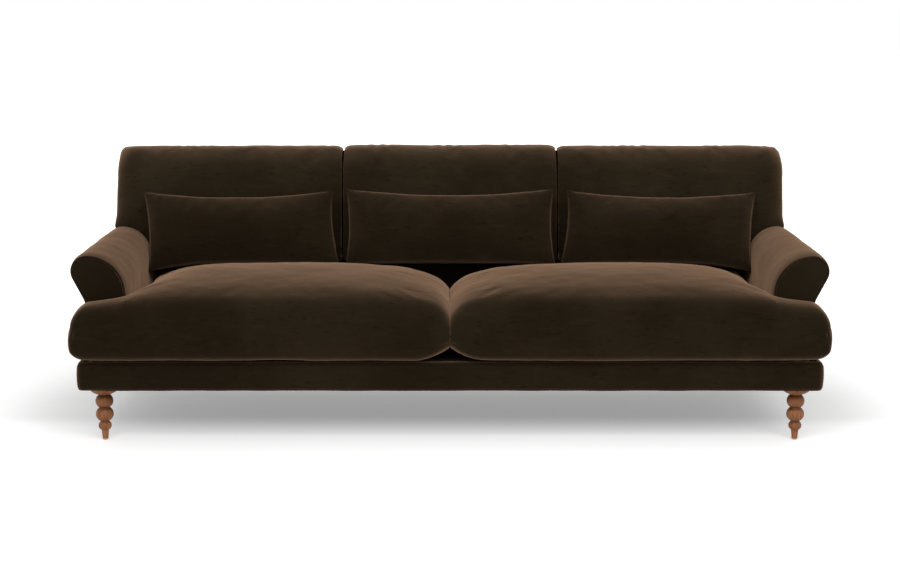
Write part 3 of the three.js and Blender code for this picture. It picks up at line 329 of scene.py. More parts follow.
def round_corner(plan, corner, inward, radius):
    """Draws a square corner in to a round one: a square of the radius's size becomes a quarter disc.

    With a and b the shares of the way out to the corner, the new ones are a sqrt(1 - b^2/2) and
    b sqrt(1 - a^2/2).
    """
    a, b = np.moveaxis(1 - np.minimum(1, (plan - corner) * inward / radius), -1, 0)
    near = (a > 0) & (b > 0)
    u = a * np.sqrt(1 - np.clip(b, 0, 1) ** 2 / 2)
    v = b * np.sqrt(1 - np.clip(a, 0, 1) ** 2 / 2)
    moved = np.asarray(corner) + np.asarray(inward) * radius * (1 - np.stack([u, v], axis=-1))
    return np.where(near[..., None], moved, plan)


def graded(low, high, low_rounding, high_rounding, step):
    """Grid lines from low to high: r (1 - cos t) over each rounding r, and evenly between."""
    def quarter(reach):
        count = max(3, round(1.6 * reach / step)) if reach else 0
        return reach * (1 - np.cos(np.linspace(0, math.pi / 2, count + 1)))

    first = low + quarter(low_rounding)
    last = high - quarter(high_rounding)[::-1]
    count = max(2, round((last[0] - first[-1]) / step))
    return np.concatenate([first, np.linspace(first[-1], last[0], count + 1)[1:-1], last])


def arc(centre_x, centre_z, radius, start, stop, count):
    """Points of a circle, as arrays of x and z, between two angles in degrees."""
    t = np.radians(np.linspace(start, stop, count))
    return centre_x + radius * np.cos(t), centre_z + radius * np.sin(t)


def walk(corners):
    """Grid indices along straight runs between corners, once round."""
    runs = [
        np.linspace(a, b, int(np.abs(np.subtract(a, b)).max()), endpoint=False)
        for a, b in zip(corners, corners[1:] + corners[:1])
    ]
    return np.rint(np.vstack(runs)).astype(int)


def band_faces(rings, closed=True):
    """Quads between rows of indices, closed round each row or open."""
    after = np.roll(rings, -1, axis=1)
    quads = np.stack([after[:-1], rings[:-1], rings[1:], after[1:]], axis=-1)
    if not closed:
        quads = quads[:, :-1]
    return quads.reshape(-1, 4)


def soft_noise(points, wavelength, seed, waves=24):
    """Smooth unevenness about 0: a sum of sine waves of about one wavelength in random directions."""
    random = np.random.default_rng(seed)
    heading = random.normal(size=(waves, points.shape[-1]))
    heading /= np.linalg.norm(heading, axis=1, keepdims=True)
    pitch = 2 * math.pi / (wavelength * random.uniform(0.7, 1.5, (waves, 1)))
    phase = random.uniform(0, 2 * math.pi, waves)
    return np.sin(points @ (heading * pitch).T + phase).sum(axis=-1) / math.sqrt(2 * waves)


def facing_out(points, faces):
    """The faces turned so that the signed volume of the closed surface is positive."""
    a, b, c, d = (points[faces[:, k]] for k in range(4))
    volume = (a * np.cross(b, c)).sum() + (a * np.cross(c, d)).sum()
    return faces if volume > 0 else faces[:, ::-1]


def make_piece(name, points, faces, caps=()):
    """A smooth mesh object at the origin, from points, quads and end caps of many corners."""
    mesh = bpy.data.meshes.new(name)
    mesh.from_pydata(points.tolist(), [], faces.tolist() + [list(cap) for cap in caps])
    mesh.polygons.foreach_set("use_smooth", np.ones(len(mesh.polygons), bool))
    if caps:
        shape = bmesh.new()
        shape.from_mesh(mesh)
        bmesh.ops.recalc_face_normals(shape, faces=shape.faces)
        shape.to_mesh(mesh)
        shape.free()
    mesh.update()
    piece = bpy.data.objects.new(name, mesh)
    bpy.context.scene.collection.objects.link(piece)
    return piece


def points_of(piece):
    """The piece's vertices as an array."""
    points = np.empty(len(piece.data.vertices) * 3)
    piece.data.vertices.foreach_get("co", points)
    return points.reshape(-1, 3)


def normals_of(piece):
    """The piece's vertex normals as an array."""
    normals = np.empty(len(piece.data.vertices) * 3)
    piece.data.vertex_normals.foreach_get("vector", normals)
    return normals.reshape(-1, 3)


def set_points(piece, points):
    """Moves the piece's vertices."""
    piece.data.vertices.foreach_set("co", points.ravel())
    piece.data.update()


def subdivide(piece, levels=1):
    """A live Subdivision Surface."""
    modifier = piece.modifiers.new("smooth", "SUBSURF")
    modifier.levels = levels
    modifier.render_levels = levels


def pad(plan, keep, rim, top, bottom, bulge, rows):
    """Points and quads of a closed pad over a plan.

    The plan is an array of points over a grid, keep says which of its cells are used and rim is
    the walk round them. A wall point at the share w of the way up from the under sheet to the
    upper one stands out from the rim by the bulge times 1 - |2w - 1|^2.5.
    """
    columns, lines = plan.shape[:2]
    upper = np.dstack([plan, top]).reshape(-1, 3)
    under = np.dstack([plan, bottom]).reshape(-1, 3)
    ring = rim[:, 0] * lines + rim[:, 1]
    edge = plan.reshape(-1, 2)[ring]
    along = np.roll(edge, -1, axis=0) - np.roll(edge, 1, axis=0)
    outward = np.column_stack([along[:, 1], -along[:, 0]]) / np.linalg.norm(along, axis=1)[:, None]
    share = np.linspace(1, 0, rows + 1)[1:-1, None]
    swell = bulge * (1 - np.abs(2 * share - 1) ** 2.5)
    wall = np.empty((rows - 1, len(ring), 3))
    wall[..., :2] = edge + outward * swell[..., None]
    wall[..., 2] = under[ring, 2] + share * (upper[ring, 2] - under[ring, 2])
    points = np.vstack([upper, under, wall.reshape(-1, 3)])
    i, j = np.nonzero(keep)
    cells = np.column_stack([i * lines + j, (i + 1) * lines + j, (i + 1) * lines + j + 1, i * lines + j + 1])
    sheet = columns * lines
    between = 2 * sheet + np.arange(wall.shape[0] * len(ring)).reshape(wall.shape[0], -1)
    rings = np.vstack([ring, between, sheet + ring])
    faces = np.vstack([cells, (cells + sheet)[:, ::-1], band_faces(rings)])
    used, faces = np.unique(faces, return_inverse=True)
    return points[used], faces.reshape(-1, 4)


def back_point(x, out, up):
    """A point of the leaning back, from its x, its distance before the frame and up its face."""
    rake = bpy.context.scene.sofa_back.rake
    return np.stack([
        x,
        BACK_FOOT - out * math.cos(rake) + up * math.sin(rake),
        DECK_TOP + out * math.sin(rake) + up * math.cos(rake),
    ], axis=-1)


# Cushion making

def uneven(piece, height, seed):
    """Soft lumps of two sizes, moved along the normals."""
    points = points_of(piece)
    lumps = 0.7 * soft_noise(points, 0.22, seed) + 0.3 * soft_noise(points, 0.07, seed + 1)
    set_points(piece, points + normals_of(piece) * (height * lumps)[:, None])


def settle(piece, free):
    """Lets the cover settle as cloth under the filling's pressure.

    The cloth is cut a little too large, and free, from 0 to 1 at each vertex, is how far it may
    leave its place. A point moves by its own distance d times min(1, travel / d).
    """
    settings = bpy.context.scene.sofa_padding
    group = piece.vertex_groups.new(name="held")
    for level in range(11):
        members = np.nonzero(np.rint(10 * (1 - free)) == level)[0]
        group.add(members.tolist(), level / 10, "REPLACE")
    before = points_of(piece)
    cloth = piece.modifiers.new("settle", "CLOTH")
    cloth.settings.vertex_group_mass = group.name
    cloth.settings.quality = 4
    cloth.settings.tension_stiffness = 12
    cloth.settings.compression_stiffness = 12
    cloth.settings.bending_stiffness = 0.6
    cloth.settings.use_pressure = True
    cloth.settings.uniform_pressure_force = settings.pressure
    cloth.settings.shrink_min = -settings.slack
    cloth.settings.effector_weights.gravity = 0
    cloth.point_cache.frame_start = 1
    cloth.point_cache.frame_end = settings.frames
    for step in range(1, settings.frames + 1):
        bpy.context.scene.frame_set(step)
    shaped = piece.evaluated_get(bpy.context.evaluated_depsgraph_get())
    after = np.empty(before.size)
    shaped.data.vertices.foreach_get("co", after)
    piece.modifiers.remove(cloth)
    piece.vertex_groups.remove(group)
    bpy.context.scene.frame_set(1)
    moved = after.reshape(-1, 3) - before
    distance = np.linalg.norm(moved, axis=1, keepdims=True)
    limit = settings.travel * free[:, None]
    set_points(piece, before + moved * np.minimum(1, limit / np.maximum(distance, 1e-9)))


def finish_cushion(piece, node, body, free, nap):
    """Settles, smooths and dresses one cushion, which stands for its CAD node: hides that node and attaches the
    cushion to its body.
    """
    settle(piece, free)
    subdivide(piece)
    piece.data.materials.append(velvet(nap))
    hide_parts(node)
    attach(piece, body)


def seat_height(across, y, s, stem_side, wing_rear, front, wing_end):
    """Height of a seat cushion's face.

    A shallow arc crowns it from front to rear. Exponentials drop it into the seam, and down to
    the level of the edge along the arm, from which the wing slopes out. Quarter ellipses roll it
    over at the front, the rear and the wing.
    """
    wing = smoothstep(across, stem_side, stem_side + 0.03)
    out = np.maximum(0, across - stem_side)
    from_front, from_wing = rounded_distances(y - front, wing_end - across, s.plan_rounding)
    before_arm = np.where(wing > 0, np.maximum(0, wing_rear - y), 1)
    nearness = 1 - smoothstep(y, front, front + 0.34)
    crown = s.crown_height - (y - s.crown_place) ** 2 / (2 * s.crown_radius)
    level = s.side_level + s.side_rise * (1 - smoothstep(y, wing_rear, wing_rear + 0.33))
    beside = np.exp(-np.maximum(0, stem_side - across) / s.side_spread)
    face = crown + (level - crown) * beside - s.wing_slope * out
    face -= s.wing_dip * (1 - np.exp(-out / s.wing_dip_spread))
    steep = 1 + s.valley_front * nearness
    gentle = 1 - s.shoulder_front * nearness
    face -= s.valley_drop * steep * np.exp(-across / s.valley_spread)
    face -= s.shoulder_drop * gentle * np.exp(-across / s.shoulder_spread)
    broad = smoothstep(across, stem_side - 0.12, stem_side + 0.04)
    gentle_fall = s.front_fall + (s.wing_fall - s.front_fall) * broad
    face -= gentle_fall * np.clip(1 - (y - front) / s.front_run, 0, 1) ** 2
    rounding = s.front_rounding + (s.wing_front - s.front_rounding) * broad
    drop = s.front_drop + (s.wing_front_drop - s.front_drop) * broad
    rolls = np.sqrt(
        (drop * (1 - quarter_round(from_front, rounding))) ** 2
        + (s.wing_drop * (1 - quarter_round(from_wing, s.wing_rounding))) ** 2
        + (s.wing_rear * wing * (1 - quarter_round(before_arm, s.wing_rear))) ** 2
        + (s.rear_rounding * (1 - quarter_round(SEAT_HIGH.y - y, s.rear_rounding))) ** 2)
    return DECK_TOP + face - rolls


def seat_under(across, y, s, wing_rear, front, wing_end):
    """Height of a seat cushion's under face, which rolls up at the edges that show.

    The corner at the seam lifts by its height times (1 - x / reach)^1.8.
    """
    at_front = 1 - smoothstep(y - front, 0, s.seam_depth)
    overhang = np.minimum(y - front, wing_end - across)
    return (SEAT_LOW.z
            + s.lower_rise * (1 - smoothstep(overhang, 0.3 * s.lower_run, s.lower_run))
            + s.lower_lift * (1 - quarter_round(y - front, s.lower_reach))
            + s.seam_lift * np.clip(1 - across / s.seam_reach, 0, 1) ** 1.8 * at_front
            + s.wing_lift * (1 - quarter_round(wing_end - across, s.wing_reach)) * (y <= wing_rear))


class SOFA_OT_seat_cushions(Operator):
    """Makes the two loose T-shaped seat cushions"""
    bl_idname = "sofa.seat_cushions"
    bl_label = "Seat Cushions"

    def execute(self, context):
        s = context.scene.sofa_seat
        step = context.scene.sofa_padding.step
        front = SEAT_LOW.y + s.bulge
        wing_end = SEAT_HIGH.x - s.bulge - s.wing_trim
        wing_rear = PANEL_LOW.y - 0.001
        stem_side = ARM_LOW.x - 0.002
        xs = np.concatenate([
            graded(SEAT_LOW.x, stem_side, 0.05, 0.01, step),
            graded(stem_side, wing_end, 0.0, s.wing_rounding, step)[1:],
        ])
        ys = np.concatenate([
            graded(front, wing_rear, s.front_rounding, s.wing_rear, step),
            graded(wing_rear, SEAT_HIGH.y, 0.0, s.rear_rounding, step)[1:],
        ])
        plan = np.stack(np.meshgrid(xs, ys, indexing="ij"), axis=-1)
        middle_x = (xs[1:] + xs[:-1])[:, None] / 2
        middle_y = (ys[1:] + ys[:-1])[None, :] / 2
        keep = (middle_x < stem_side) | (middle_y < wing_rear)
        stem = int(np.argmin(np.abs(xs - stem_side)))
        wing = int(np.argmin(np.abs(ys - wing_rear)))
        last_x, last_y = len(xs) - 1, len(ys) - 1
        rim = walk([(0, 0), (last_x, 0), (last_x, wing), (stem, wing), (stem, last_y), (0, last_y)])
        plan = round_corner(plan, (wing_end, front), (-1, 1), s.plan_rounding)
        plan = round_corner(plan, (wing_end, wing_rear), (-1, -1), s.plan_rounding)
        plan = round_corner(plan, (stem_side, SEAT_HIGH.y), (-1, -1), s.plan_rounding)
        plan = round_corner(plan, (SEAT_LOW.x, SEAT_HIGH.y), (1, -1), s.seam_rounding)
        plan = round_corner(plan, (SEAT_LOW.x, front), (1, 1), s.seam_rounding)
        across, y = plan[..., 0], plan[..., 1]
        top = seat_height(across, y, s, stem_side, wing_rear, front, wing_end)
        bottom = seat_under(across, y, s, wing_rear, front, wing_end)
        edge = plan[rim[:, 0], rim[:, 1]]
        swells = (edge[:, 1] < wing_rear - 0.02) & (edge[:, 0] > SEAT_LOW.x + 0.001)
        points, faces = pad(plan, keep, rim, top, bottom, s.bulge * swells, 16)
        for side, sign in SIDES:
            placed = points * (sign, 1, 1)
            piece = make_piece(f"seat_velvet_{side}", placed, facing_out(placed, faces))
            uneven(piece, context.scene.sofa_padding.unevenness, 11 if sign < 0 else 17)
            free = smoothstep(placed[:, 2], SEAT_LOW.z + 0.01, SEAT_LOW.z + 0.06)
            free *= smoothstep(np.abs(placed[:, 0]), SEAT_LOW.x, SEAT_LOW.x + 0.2)
            finish_cushion(piece, f"seat_cushion_{side}", f"seat_cushion_{side}", free, "seat")
        return {"FINISHED"}


def back_cushion_plan(outer_path, inner_path, inner_reach, outer_reach, step):
    """A plan ruled between two paths: straight rows from the inner path to the outer one."""
    width = outer_path[:, 0].max() - inner_path[0, 0]
    share = graded(0, width, inner_reach, outer_reach, step) / width
    plan = inner_path[None] + share[:, None, None] * (outer_path - inner_path)[None]
    return plan, share[:, None] * np.ones(len(outer_path))


def fall(distance, drop, reach):
    """A fall towards an edge: the drop times (1 - distance / reach)^2."""
    return drop * np.clip(1 - distance / reach, 0, 1) ** 2


def back_cushion_face(plan, share, low, high, outer, s):
    """Distance of the cushion's face before the frame.

    A crown, less a fall towards the top and the sides and a quarter ellipse at each edge. The
    outer side is a seam as well on the centre cushion, where outer is its rounding, drop and reach.
    """
    width = np.abs(plan[-1, :, 0] - plan[0, :, 0])[None]
    up = plan[..., 1]
    crown = (1 - (2 * share - 1) ** 2) * (1 - ((up - (low + high) / 2) / ((high - low) / 2)) ** 2)
    rounding, drop, reach = outer
    edges = (
        (share * width, s.seam_rounding),
        ((1 - share) * width, rounding),
        (up - low, s.rounding),
        (high - up, s.rounding),
    )
    rolls = sum(size * (1 - quarter_round(distance, size)) for distance, size in edges)
    falls = (fall(high - up, s.top_fall, s.top_reach)
             + fall(share * width, s.seam_fall, s.seam_reach)
             + fall((1 - share) * width, drop, reach))
    return s.thickness + s.crown * crown - falls - np.minimum(s.rounding, rolls)


class SOFA_OT_back_cushions(Operator):
    """Makes the three attached back cushions"""
    bl_idname = "sofa.back_cushions"
    bl_label = "Back Cushions"

    def execute(self, context):
        s = context.scene.sofa_back
        step = context.scene.sofa_padding.step
        low = (CUSHION_LOW.z - DECK_TOP) / math.cos(s.rake) + s.tuck
        high = s.height + s.above
        seam = CUSHION_HIGH.x - s.seam_gap
        top = high + s.centre_rise
        heights = graded(low, top, s.corner, s.corner, step)
        self.cushion(context, "centre", 1, self.straight(-seam, heights), self.straight(seam, heights),
                     low, top)
        side_outer, side_inner = self.round_arm(context, seam + 2 * s.seam_gap + 0.001, low, high, step)
        for side, sign in SIDES:
            self.cushion(context, side, sign, side_inner, side_outer, low, high)
            self.strip(s, side, sign, seam + s.seam_gap, low + s.corner, high - 0.007)
        return {"FINISHED"}

    def strip(self, s, side, sign, x, low, high):
        """A near-black strip between two cushions, from the frame out to just behind their edge at each
        height: painted shade that darkens the crease between them."""
        up, edge = self.seam_edge
        heights = up[(up > low) & (up < high)]
        out = np.interp(heights, up, edge) - s.strip_recess
        half = s.seam_gap + 0.0003
        points = np.stack([
            back_point(x + place + 0 * heights, depth, heights)
            for place, depth in ((-half, 0 * out + 0.001), (-half, out), (half, out), (half, 0 * out + 0.001))
        ], axis=1).reshape(-1, 3) * (sign, 1, 1)
        rings = np.arange(len(points)).reshape(-1, 4)
        faces = facing_out(points, band_faces(rings))
        piece = make_piece(f"back_seam_shade_strip_{side}", points, faces, [rings[0], rings[-1][::-1]])
        piece.data.polygons.foreach_set("use_smooth", np.zeros(len(piece.data.polygons), bool))
        # painted shade: a near-black, matt strip fills the crease so that it reads as shade
        piece.data.materials.append(woven("painted seam shade", (0.004, 0.003, 0.002), (0.002, 0.0015, 0.001), 900.0, 0.0))
        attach(piece, "frame")

    def straight(self, x, heights):
        """An upright path at one x."""
        return np.column_stack([np.full(len(heights), x), heights])

    def round_arm(self, context, seam, low, high, step):
        """The outer path of a side cushion: up the arm's inner face, round its shoulder, over the
        roll and up the cushion's own side. The inner path has as many points, evenly shared."""
        s = context.scene.sofa_back
        arm = context.scene.sofa_arm
        face_out = s.thickness + s.crown / 2
        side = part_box("back_cushion_right")[1].x - s.bulge + 0.005
        roll_x = ARM_HIGH.x - arm.roll
        inner = ARM_LOW.x + 0.85 * arm.splay + s.arm_press
        radius = roll_x - inner

        def up_of(z):
            return (z - DECK_TOP - face_out * math.sin(s.rake)) / math.cos(s.rake)

        top = up_of(ARM_HIGH.z - s.arm_press)
        start = up_of(ARM_HIGH.z - s.arm_press - radius)
        t = np.linspace(0, math.pi / 2, 12)
        shoulder = np.column_stack([roll_x - radius * np.cos(t), start + (top - start) * np.sin(t)])
        below = np.linspace(low, start, max(3, round((start - low) / step)) + 1)[:-1]
        above = graded(top, high, 0.0, s.corner, step)
        lower = (above[-1] - above) / (above[-1] - above[0])
        outer = np.vstack([
            self.straight(inner, below),
            shoulder,
            [((roll_x + side) / 2, top + 0.002)],
            np.column_stack([side + s.spread * np.minimum(1, 1.6 * lower), above + 0.004 * lower]),
        ])
        bend = np.linspace(start, top + 0.004, len(shoulder) + 2)[:-1]
        heights = np.concatenate([below, bend, outer[len(below) + len(bend):, 1]])
        self.arm = (inner, roll_x, start, top, face_out)
        return outer, self.straight(seam, heights)

    def follow_arm(self, local, rake):
        """Lifts the points near the arm as the cushion leans back, so that the cut stays level."""
        inner, roll_x, start, top, face_out = self.arm
        t = np.clip((roll_x - local[:, 0]) / (roll_x - inner), 0, 1)
        cut = start + (top - start) * np.sqrt(1 - t * t)
        near = (1 - smoothstep(local[:, 1] - cut, 0, 0.09)) * smoothstep(local[:, 0], inner, inner + 0.03)
        local[:, 1] += near * np.maximum(0, face_out - local[:, 2]) * math.tan(rake)
        return local

    def cushion(self, context, side, sign, inner_path, outer_path, low, high):
        s = context.scene.sofa_back
        step = context.scene.sofa_padding.step
        if side == "centre":
            plan, share = back_cushion_plan(outer_path, inner_path, s.seam_rounding, s.seam_rounding, step)
            outer = (s.seam_rounding, s.seam_fall, s.seam_reach)
        else:
            plan, share = back_cushion_plan(outer_path, inner_path, s.seam_rounding, s.rounding, step)
            over_arm = smoothstep(plan[..., 1], self.arm[3], self.arm[3] + 0.06)
            outer = (s.rounding, s.side_fall * over_arm, s.side_reach)
        x0, x1 = inner_path[0, 0], outer_path[-1, 0]
        face = back_cushion_face(plan, share, low, high, outer, s)
        if side == "centre":
            self.seam_edge = (plan[-1, :, 1], face[-1])
        plan = round_corner(plan, (x0, high), (1, -1), s.corner)
        plan = round_corner(plan, (x1, high), (-1, -1), s.corner if side == "centre" else s.outer_corner)
        plan = round_corner(plan, (x0, low), (1, 1), s.corner)
        if side == "centre":
            plan = round_corner(plan, (x1, low), (-1, 1), s.corner)
        last_x, last_up = plan.shape[0] - 1, plan.shape[1] - 1
        rim = walk([(0, 0), (last_x, 0), (last_x, last_up), (0, last_up)])
        edge = plan[rim[:, 0], rim[:, 1]]
        on_top = edge[:, 1] > high - s.corner / 2
        on_side = (edge[:, 0] > x1 - s.corner / 2) & (edge[:, 1] > low + 0.3)
        on_side &= side != "centre"
        bulge = np.where(on_top | on_side, s.bulge, 0)
        local, faces = pad(plan, np.ones((last_x, last_up), bool), rim, face, np.full_like(face, 0.0003),
                           bulge, 14)
        if side != "centre":
            local = self.follow_arm(local, s.rake)
            local[:, 1] -= s.droop * np.exp(-(x1 - local[:, 0]) / 0.03) * smoothstep(local[:, 1], low, high)
        points = back_point(local[:, 0], local[:, 2], local[:, 1]) * (sign, 1, 1)
        piece = make_piece(f"back_velvet_{side}", points, facing_out(points, faces))
        seed = {"left": 23, "centre": 29, "right": 37}[side]
        uneven(piece, context.scene.sofa_padding.unevenness, seed)
        gathers = soft_noise(points[:, :1], s.pucker_pitch, seed + 5)
        reach = np.exp(-np.abs(high + s.bulge - local[:, 1]) / 0.03)
        lumps = smoothstep(soft_noise(points[:, :1], 0.3, seed + 9), -0.2, 0.6)
        offset = s.pucker * gathers * reach * lumps
        set_points(piece, points_of(piece) + normals_of(piece) * offset[:, None])
        free = smoothstep(local[:, 2], 0.03, 0.1) * smoothstep(local[:, 1], low, low + 0.05)
        free *= smoothstep(np.minimum(local[:, 0] - x0, x1 - local[:, 0]), 0.0, 0.06)
        finish_cushion(piece, f"back_cushion_{side}", "frame", free, "back")


class SOFA_OT_lumbar_pillows(Operator):
    """Makes the three lumbar pillows"""
    bl_idname = "sofa.lumbar_pillows"
    bl_label = "Lumbar Pillows"

    def execute(self, context):
        s = context.scene.sofa_pillow
        self.pillow(context, "left", -s.side_place, s.side_half, s.side_height, s.slip, s.tilt, 41)
        self.pillow(context, "centre", 0, s.centre_half, s.centre_height, 0, 0, 43)
        self.pillow(context, "right", s.side_place, s.side_half, s.side_height, -s.slip, -s.tilt, 47)
        return {"FINISHED"}

    def pillow(self, context, place, centre, half_width, height, slip, tilt, seed):
        """Two faces sewn at a knife edge.

        With u and v from -1 to 1 across and up, a face stands out by half the thickness times
        ((1 - u^2)(1 - v^2))^fullness. The side seams draw in by 1 - v^2, and the top by 1 - u^2.
        """
        s = context.scene.sofa_pillow
        step = context.scene.sofa_padding.step
        half = height / 2
        columns = round(2.6 * half_width / step)
        rows = round(2.6 * half / step)
        u = -np.cos(math.pi * np.arange(columns + 1) / columns)[:, None] * np.ones(rows + 1)
        v = -np.cos(math.pi * np.arange(rows + 1) / rows)[None] * np.ones((columns + 1, 1))
        across = u * (half_width - s.side_pinch * (1 - v * v))
        up = v * (half - np.where(v > 0, s.top_pinch, 0) * (1 - u * u)) + u * tilt
        swell = ((1 - u * u) * (1 - v * v)) ** s.fullness
        from_seam = np.minimum((1 - np.abs(u)) * half_width, (1 - np.abs(v)) * half)
        seam = np.where((1 - np.abs(u)) * half_width < (1 - np.abs(v)) * half, up, across)
        gathers = soft_noise(seam[..., None], s.pucker_pitch, seed)
        ripple = s.pucker * gathers * np.exp(-from_seam / s.pucker_reach) * smoothstep(from_seam, 0, 0.012)
        rise = up + half
        x = centre + across - slip * up / half
        sheets = []
        for face in (1, -1):
            out = face * (s.thickness * swell / 2 + ripple)
            sheets.append(np.stack([
                x,
                s.foot + rise * math.sin(s.lean) - out * math.cos(s.lean),
                rise * math.cos(s.lean) + out * math.sin(s.lean),
            ], axis=-1).reshape(-1, 3))
        count = u.size
        front = np.arange(count).reshape(u.shape)
        rear = front + count
        rear[[0, -1]] = front[[0, -1]]
        rear[:, [0, -1]] = front[:, [0, -1]]
        faces = np.vstack([band_faces(front, closed=False), band_faces(rear, closed=False)[:, ::-1]])
        used, faces = np.unique(faces, return_inverse=True)
        points = np.vstack(sheets)[used]
        points[:, 2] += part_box(f"lumbar_pillow_{place}")[0].z - points[:, 2].min()
        if slip:
            from_corner = np.clip((half_width + np.sign(slip) * (points[:, 0] - centre)) / s.droop_reach, 0, 1)
            height_share = np.tile(smoothstep(up, -half, 0.5 * half).ravel(), 2)[used]
            points[:, 2] -= s.droop * (1 - from_corner) ** 1.6 * (1 - height_share)
        piece = make_piece(f"pillow_velvet_{place}", points, facing_out(points, faces.reshape(-1, 4)))
        uneven(piece, 0.6 * context.scene.sofa_padding.unevenness, seed)
        free = np.tile(smoothstep(from_seam, 0.0, 0.02).ravel(), 2)[used]
        finish_cushion(piece, f"lumbar_pillow_{place}", f"lumbar_pillow_{place}", free, "pillow")
        border = walk([(0, 0), (columns, 0), (columns, rows), (0, rows)])
        self.ridge(s, place, points_of(piece)[front[border[:, 0], border[:, 1]]])

    def ridge(self, s, place, path):
        """The ridge along a pillow's seam: a circle carried round the path, across its run."""
        along = np.roll(path, -1, axis=0) - np.roll(path, 1, axis=0)
        along /= np.linalg.norm(along, axis=1, keepdims=True)
        ahead = np.array([0, -math.cos(s.lean), math.sin(s.lean)])
        aside = np.cross(along, ahead)
        aside /= np.linalg.norm(aside, axis=1, keepdims=True)
        t = np.linspace(0, 2 * math.pi, 10, endpoint=False)[None, :, None]
        points = (path[:, None] + s.ridge * (np.cos(t) * aside[:, None] + np.sin(t) * ahead)).reshape(-1, 3)
        rings = np.arange(len(points)).reshape(len(path), -1)
        faces = facing_out(points, band_faces(np.vstack([rings, rings[:1]])))
        piece = make_piece(f"pillow_seam_{place}", points, faces)
        piece.data.materials.append(velvet("pillow"))
        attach(piece, f"lumbar_pillow_{place}")


# Arms

def arm_section(inset, splay, foot, s):
    """The arm's section for the right side as arrays of x and z.

    It runs up the inner face, round the shoulder, over the roll, under its turn and down the
    outside panel. Inset and splay may be rows, which give a section in each column.
    """
    inset, splay = np.broadcast_arrays(np.atleast_1d(inset)[None], np.atleast_1d(splay)[None])
    roll_x = ARM_HIGH.x - s.roll
    roll_z = ARM_HIGH.z - s.roll
    inner = ARM_LOW.x + inset + splay
    outside = ARM_HIGH.x - s.outside - inset
    radius = s.roll - inset
    shoulder = roll_x - inner
    shoulder_z = roll_z + radius - shoulder
    end = s.roll_end
    end_x = roll_x + radius * math.cos(end)
    end_z = roll_z - radius * math.sin(end)
    turn_z = end_z - (end_x - outside) * math.cos(end) / math.sin(end)
    rise = np.linspace(0, 1, 14)[:-1, None]
    over = np.radians(np.linspace(180, 90, 26))[:, None]
    under = np.radians(np.linspace(90, -math.degrees(end), 30))[1:, None]
    bend = np.linspace(0, 1, 7)[:, None]
    bend_x = outside + (1 - bend) ** 2 * s.turn_fillet * math.sin(end)
    bend_z = turn_z + s.turn_fillet * ((1 - bend) ** 2 * math.cos(end) - bend ** 2)
    fall = np.linspace(0, 1, 12)[1:, None]
    lowest = turn_z - s.turn_fillet
    x = np.vstack([
        inner + 0 * rise,
        roll_x + shoulder * np.cos(over),
        roll_x + radius * np.cos(under),
        bend_x,
        outside + 0 * fall,
    ])
    z = np.vstack([
        foot + rise * (shoulder_z - foot),
        shoulder_z + shoulder * np.sin(over),
        roll_z + radius * np.sin(under),
        bend_z,
        lowest + fall * (foot - lowest),
    ])
    return x, z


def shrink_rings(x, y, z, centre, shares):
    """Rings that draw the last section in towards a centre, which close an end."""
    shares = np.asarray(shares)[None]
    return (centre[0] + (x[:, -1:] - centre[0]) * shares, y[:, -1:] + 0 * shares,
            centre[1] + (z[:, -1:] - centre[1]) * shares)


